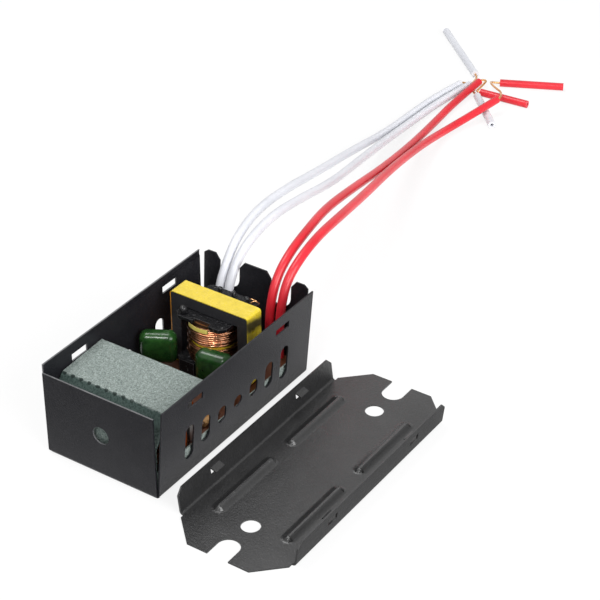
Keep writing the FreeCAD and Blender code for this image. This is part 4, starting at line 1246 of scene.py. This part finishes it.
@dataclass
class Transformer:
    """The wound core: ferrite halves, tape, bobbin and windings."""

    along: float = 18.3
    rail_top: float = 25.85
    end_wire: float = 0.42

    def stud_beads(self) -> list[bpy.types.Object]:
        """Sets a bead of varnish on each pin: a large one at the front, small ones at the rear."""
        beads = [Bead(-7.25, 12.05, 1.3), Bead(-5.0, 27.6, 0.85), Bead(0.0, 27.6, 0.95),
                 Bead(5.0, 27.6, 0.8)]
        return [bead.build(f"bead_{index}", self.rail_top) for index, bead in enumerate(beads)]

    def wire_ends(self) -> list[bpy.types.Object]:
        """Bends the winding's thin ends over the rear rail's right end."""
        bends = [[(3.4, 29.1, 25.0), (3.7, 28.6, 26.3), (4.6, 28.0, 26.4), (5.3, 27.8, 26.0)],
                 [(5.0, 29.2, 24.6), (5.4, 28.8, 26.2), (6.5, 28.3, 26.5), (7.4, 28.9, 26.0)],
                 [(6.6, 27.2, 25.9), (7.4, 27.8, 26.6), (8.2, 28.4, 26.2), (8.4, 28.9, 25.2)]]
        ends = [round_line(f"end_{index}", bend, self.end_wire, 12, 3)
                for index, bend in enumerate(bends)]
        for end in ends:
            make_active(end)
            bpy.ops.object.convert(target="MESH")
            shade(end)
        return ends

    def wind(self) -> list[bpy.types.Object]:
        """Winds the outer copper winding in two sections, with a few loose turns over both."""
        sections = [Coil(low=10.6, high=16.6, radius=8.05, wire=0.56, turns=9, sway=0.30),
                    Coil(low=17.6, high=23.9, radius=8.05, wire=0.56, turns=9, sway=0.30),
                    Coil(low=11.4, high=22.6, radius=8.55, wire=0.5, turns=4, sway=0.8)]
        return [section.build(f"coil_{index}", self.along)
                for index, section in enumerate(sections)]

    def build(self) -> None:
        """Rounds and dresses the pieces of the wound core."""
        ferrite = Ferrite("dull_ferrite", (0.022, 0.022, 0.025)).build()
        for node in ("core_upper", "core_lower"):
            keep(eased_copy(node, f"ferrite_{node}", 0.15, ferrite))
        dress_nodes(FilmTape("yellow_film_tape", (0.70, 0.53, 0.022), self.along).build(),
                    "core_tape")
        tape = TapeEnd().build(self.along)
        dress(tape, FilmTape("pale_film_tape", (0.86, 0.72, 0.16), self.along).build())
        keep(tape)
        dress_nodes(VarnishedTape("varnished_tape", (0.86, 0.66, 0.045), (0.035, 0.016, 0.008),
                                  band_low=16.7, band_high=17.5, along=self.along).build(),
                    "winding_tape")
        plastic = MouldedPlastic("black_bobbin_plastic", (0.004, 0.004, 0.005), roughness=0.14,
                                 lumps_mm=0.75, specular=0.16).build()
        # Painted highlight: the bobbin's rounded edges are lighter than its faces.
        edge = MouldedPlastic("bobbin_edge_highlights", (0.030, 0.030, 0.032), roughness=0.25,
                              lumps_mm=0.2).build()
        keep(eased_copy("bobbin", "moulded_bobbin", 0.28, plastic, edge))
        varnish = MouldedPlastic("glossy_varnish", (0.012, 0.012, 0.013), roughness=0.08,
                                 lumps_mm=0.1).build()
        keep_joined(self.stud_beads(), "varnish_beads", varnish)
        ends = CopperWire("tinned_copper_ends", (0.95, 0.52, 0.24), (0.60, 0.30, 0.12), 0.2)
        keep_joined(self.wire_ends(), "copper_wire_ends", ends.build())
        coils = self.wind()
        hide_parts("secondary_winding")
        heavy = CopperWire("heavy_copper_wire", (0.98, 0.52, 0.30), (0.80, 0.30, 0.13), 0.16,
                           shaded_sides_along=self.along)
        keep_joined(coils, "wound_copper_turns", heavy.build())
        fine = CopperWire("fine_copper_wire", (0.80, 0.34, 0.13), (0.5, 0.18, 0.06), 0.26,
                          turns_per_mm=3.2)
        dress_nodes(fine.build(), "primary_winding", "drive_windings")
        dress_nodes(ferrite, "drive_toroid")
        dress_nodes(MouldedPlastic("dark_solder_blobs", (0.02, 0.02, 0.02), roughness=0.12,
                                   lumps_mm=0.1).build(), "bobbin_pins")


# Board


@dataclass
class BoardParts:
    """The paper, the board and the small parts on it."""

    def build(self) -> None:
        """Dresses the board's parts."""
        looks: dict[Finish, tuple[str, ...]] = {
            SpeckledPaper("speckled_insulating_paper", (0.285, 0.33, 0.31), (0.08, 0.112, 0.104),
                          (0.030, 0.055, 0.048)): ("insulating_paper",),
            Laminate("brown_laminate", (0.105, 0.032, 0.010)): ("circuit_board",),
            DippedCoat("green_dipped_coat", (0.019, 0.074, 0.014), (0.008, 0.036, 0.008),
                       painted_shade_height=19.5): ("film_capacitor_left", "film_capacitor_right"),
            DippedCoat("brown_dipped_coat", (0.40, 0.085, 0.014), (0.24, 0.045, 0.008)):
                ("input_capacitor", "start_capacitor"),
            MouldedPlastic("black_epoxy", (0.020, 0.020, 0.022), 0.5):
                ("transistor_left", "transistor_right", "rectifier_diodes"),
            BareMetal("tinned_wire", (0.70, 0.69, 0.66), 0.22):
                ("transistor_tabs", "component_legs"),
            BareMetal("soft_solder", (0.66, 0.66, 0.64), 0.3): ("solder_joints",),
            BareMetal("rolled_aluminium", (0.72, 0.73, 0.74), 0.36, grain=(0.15, 1.0, 1.0)):
                ("heat_spreader",),
            BareMetal("plated_steel", (0.60, 0.60, 0.58), 0.3): ("spreader_screws",),
            DippedCoat("beige_lacquer", (0.45, 0.26, 0.11), (0.34, 0.17, 0.07)):
                ("fuse_resistor", "resistors"),
            DippedCoat("blue_lacquer", (0.05, 0.11, 0.38), (0.03, 0.06, 0.25)): ("trigger_diode",),
        }
        for finish, nodes in looks.items():
            dress_nodes(finish.build(), *nodes)


def main() -> None:
    """Builds the studio and every sub-assembly in order."""
    logging.basicConfig(level=logging.INFO, format="%(name)s: %(message)s")
    Studio().build()
    LeadSet().build()
    Housing().build()
    Transformer().build()
    BoardParts().build()


if __name__ == "__main__":
    main()
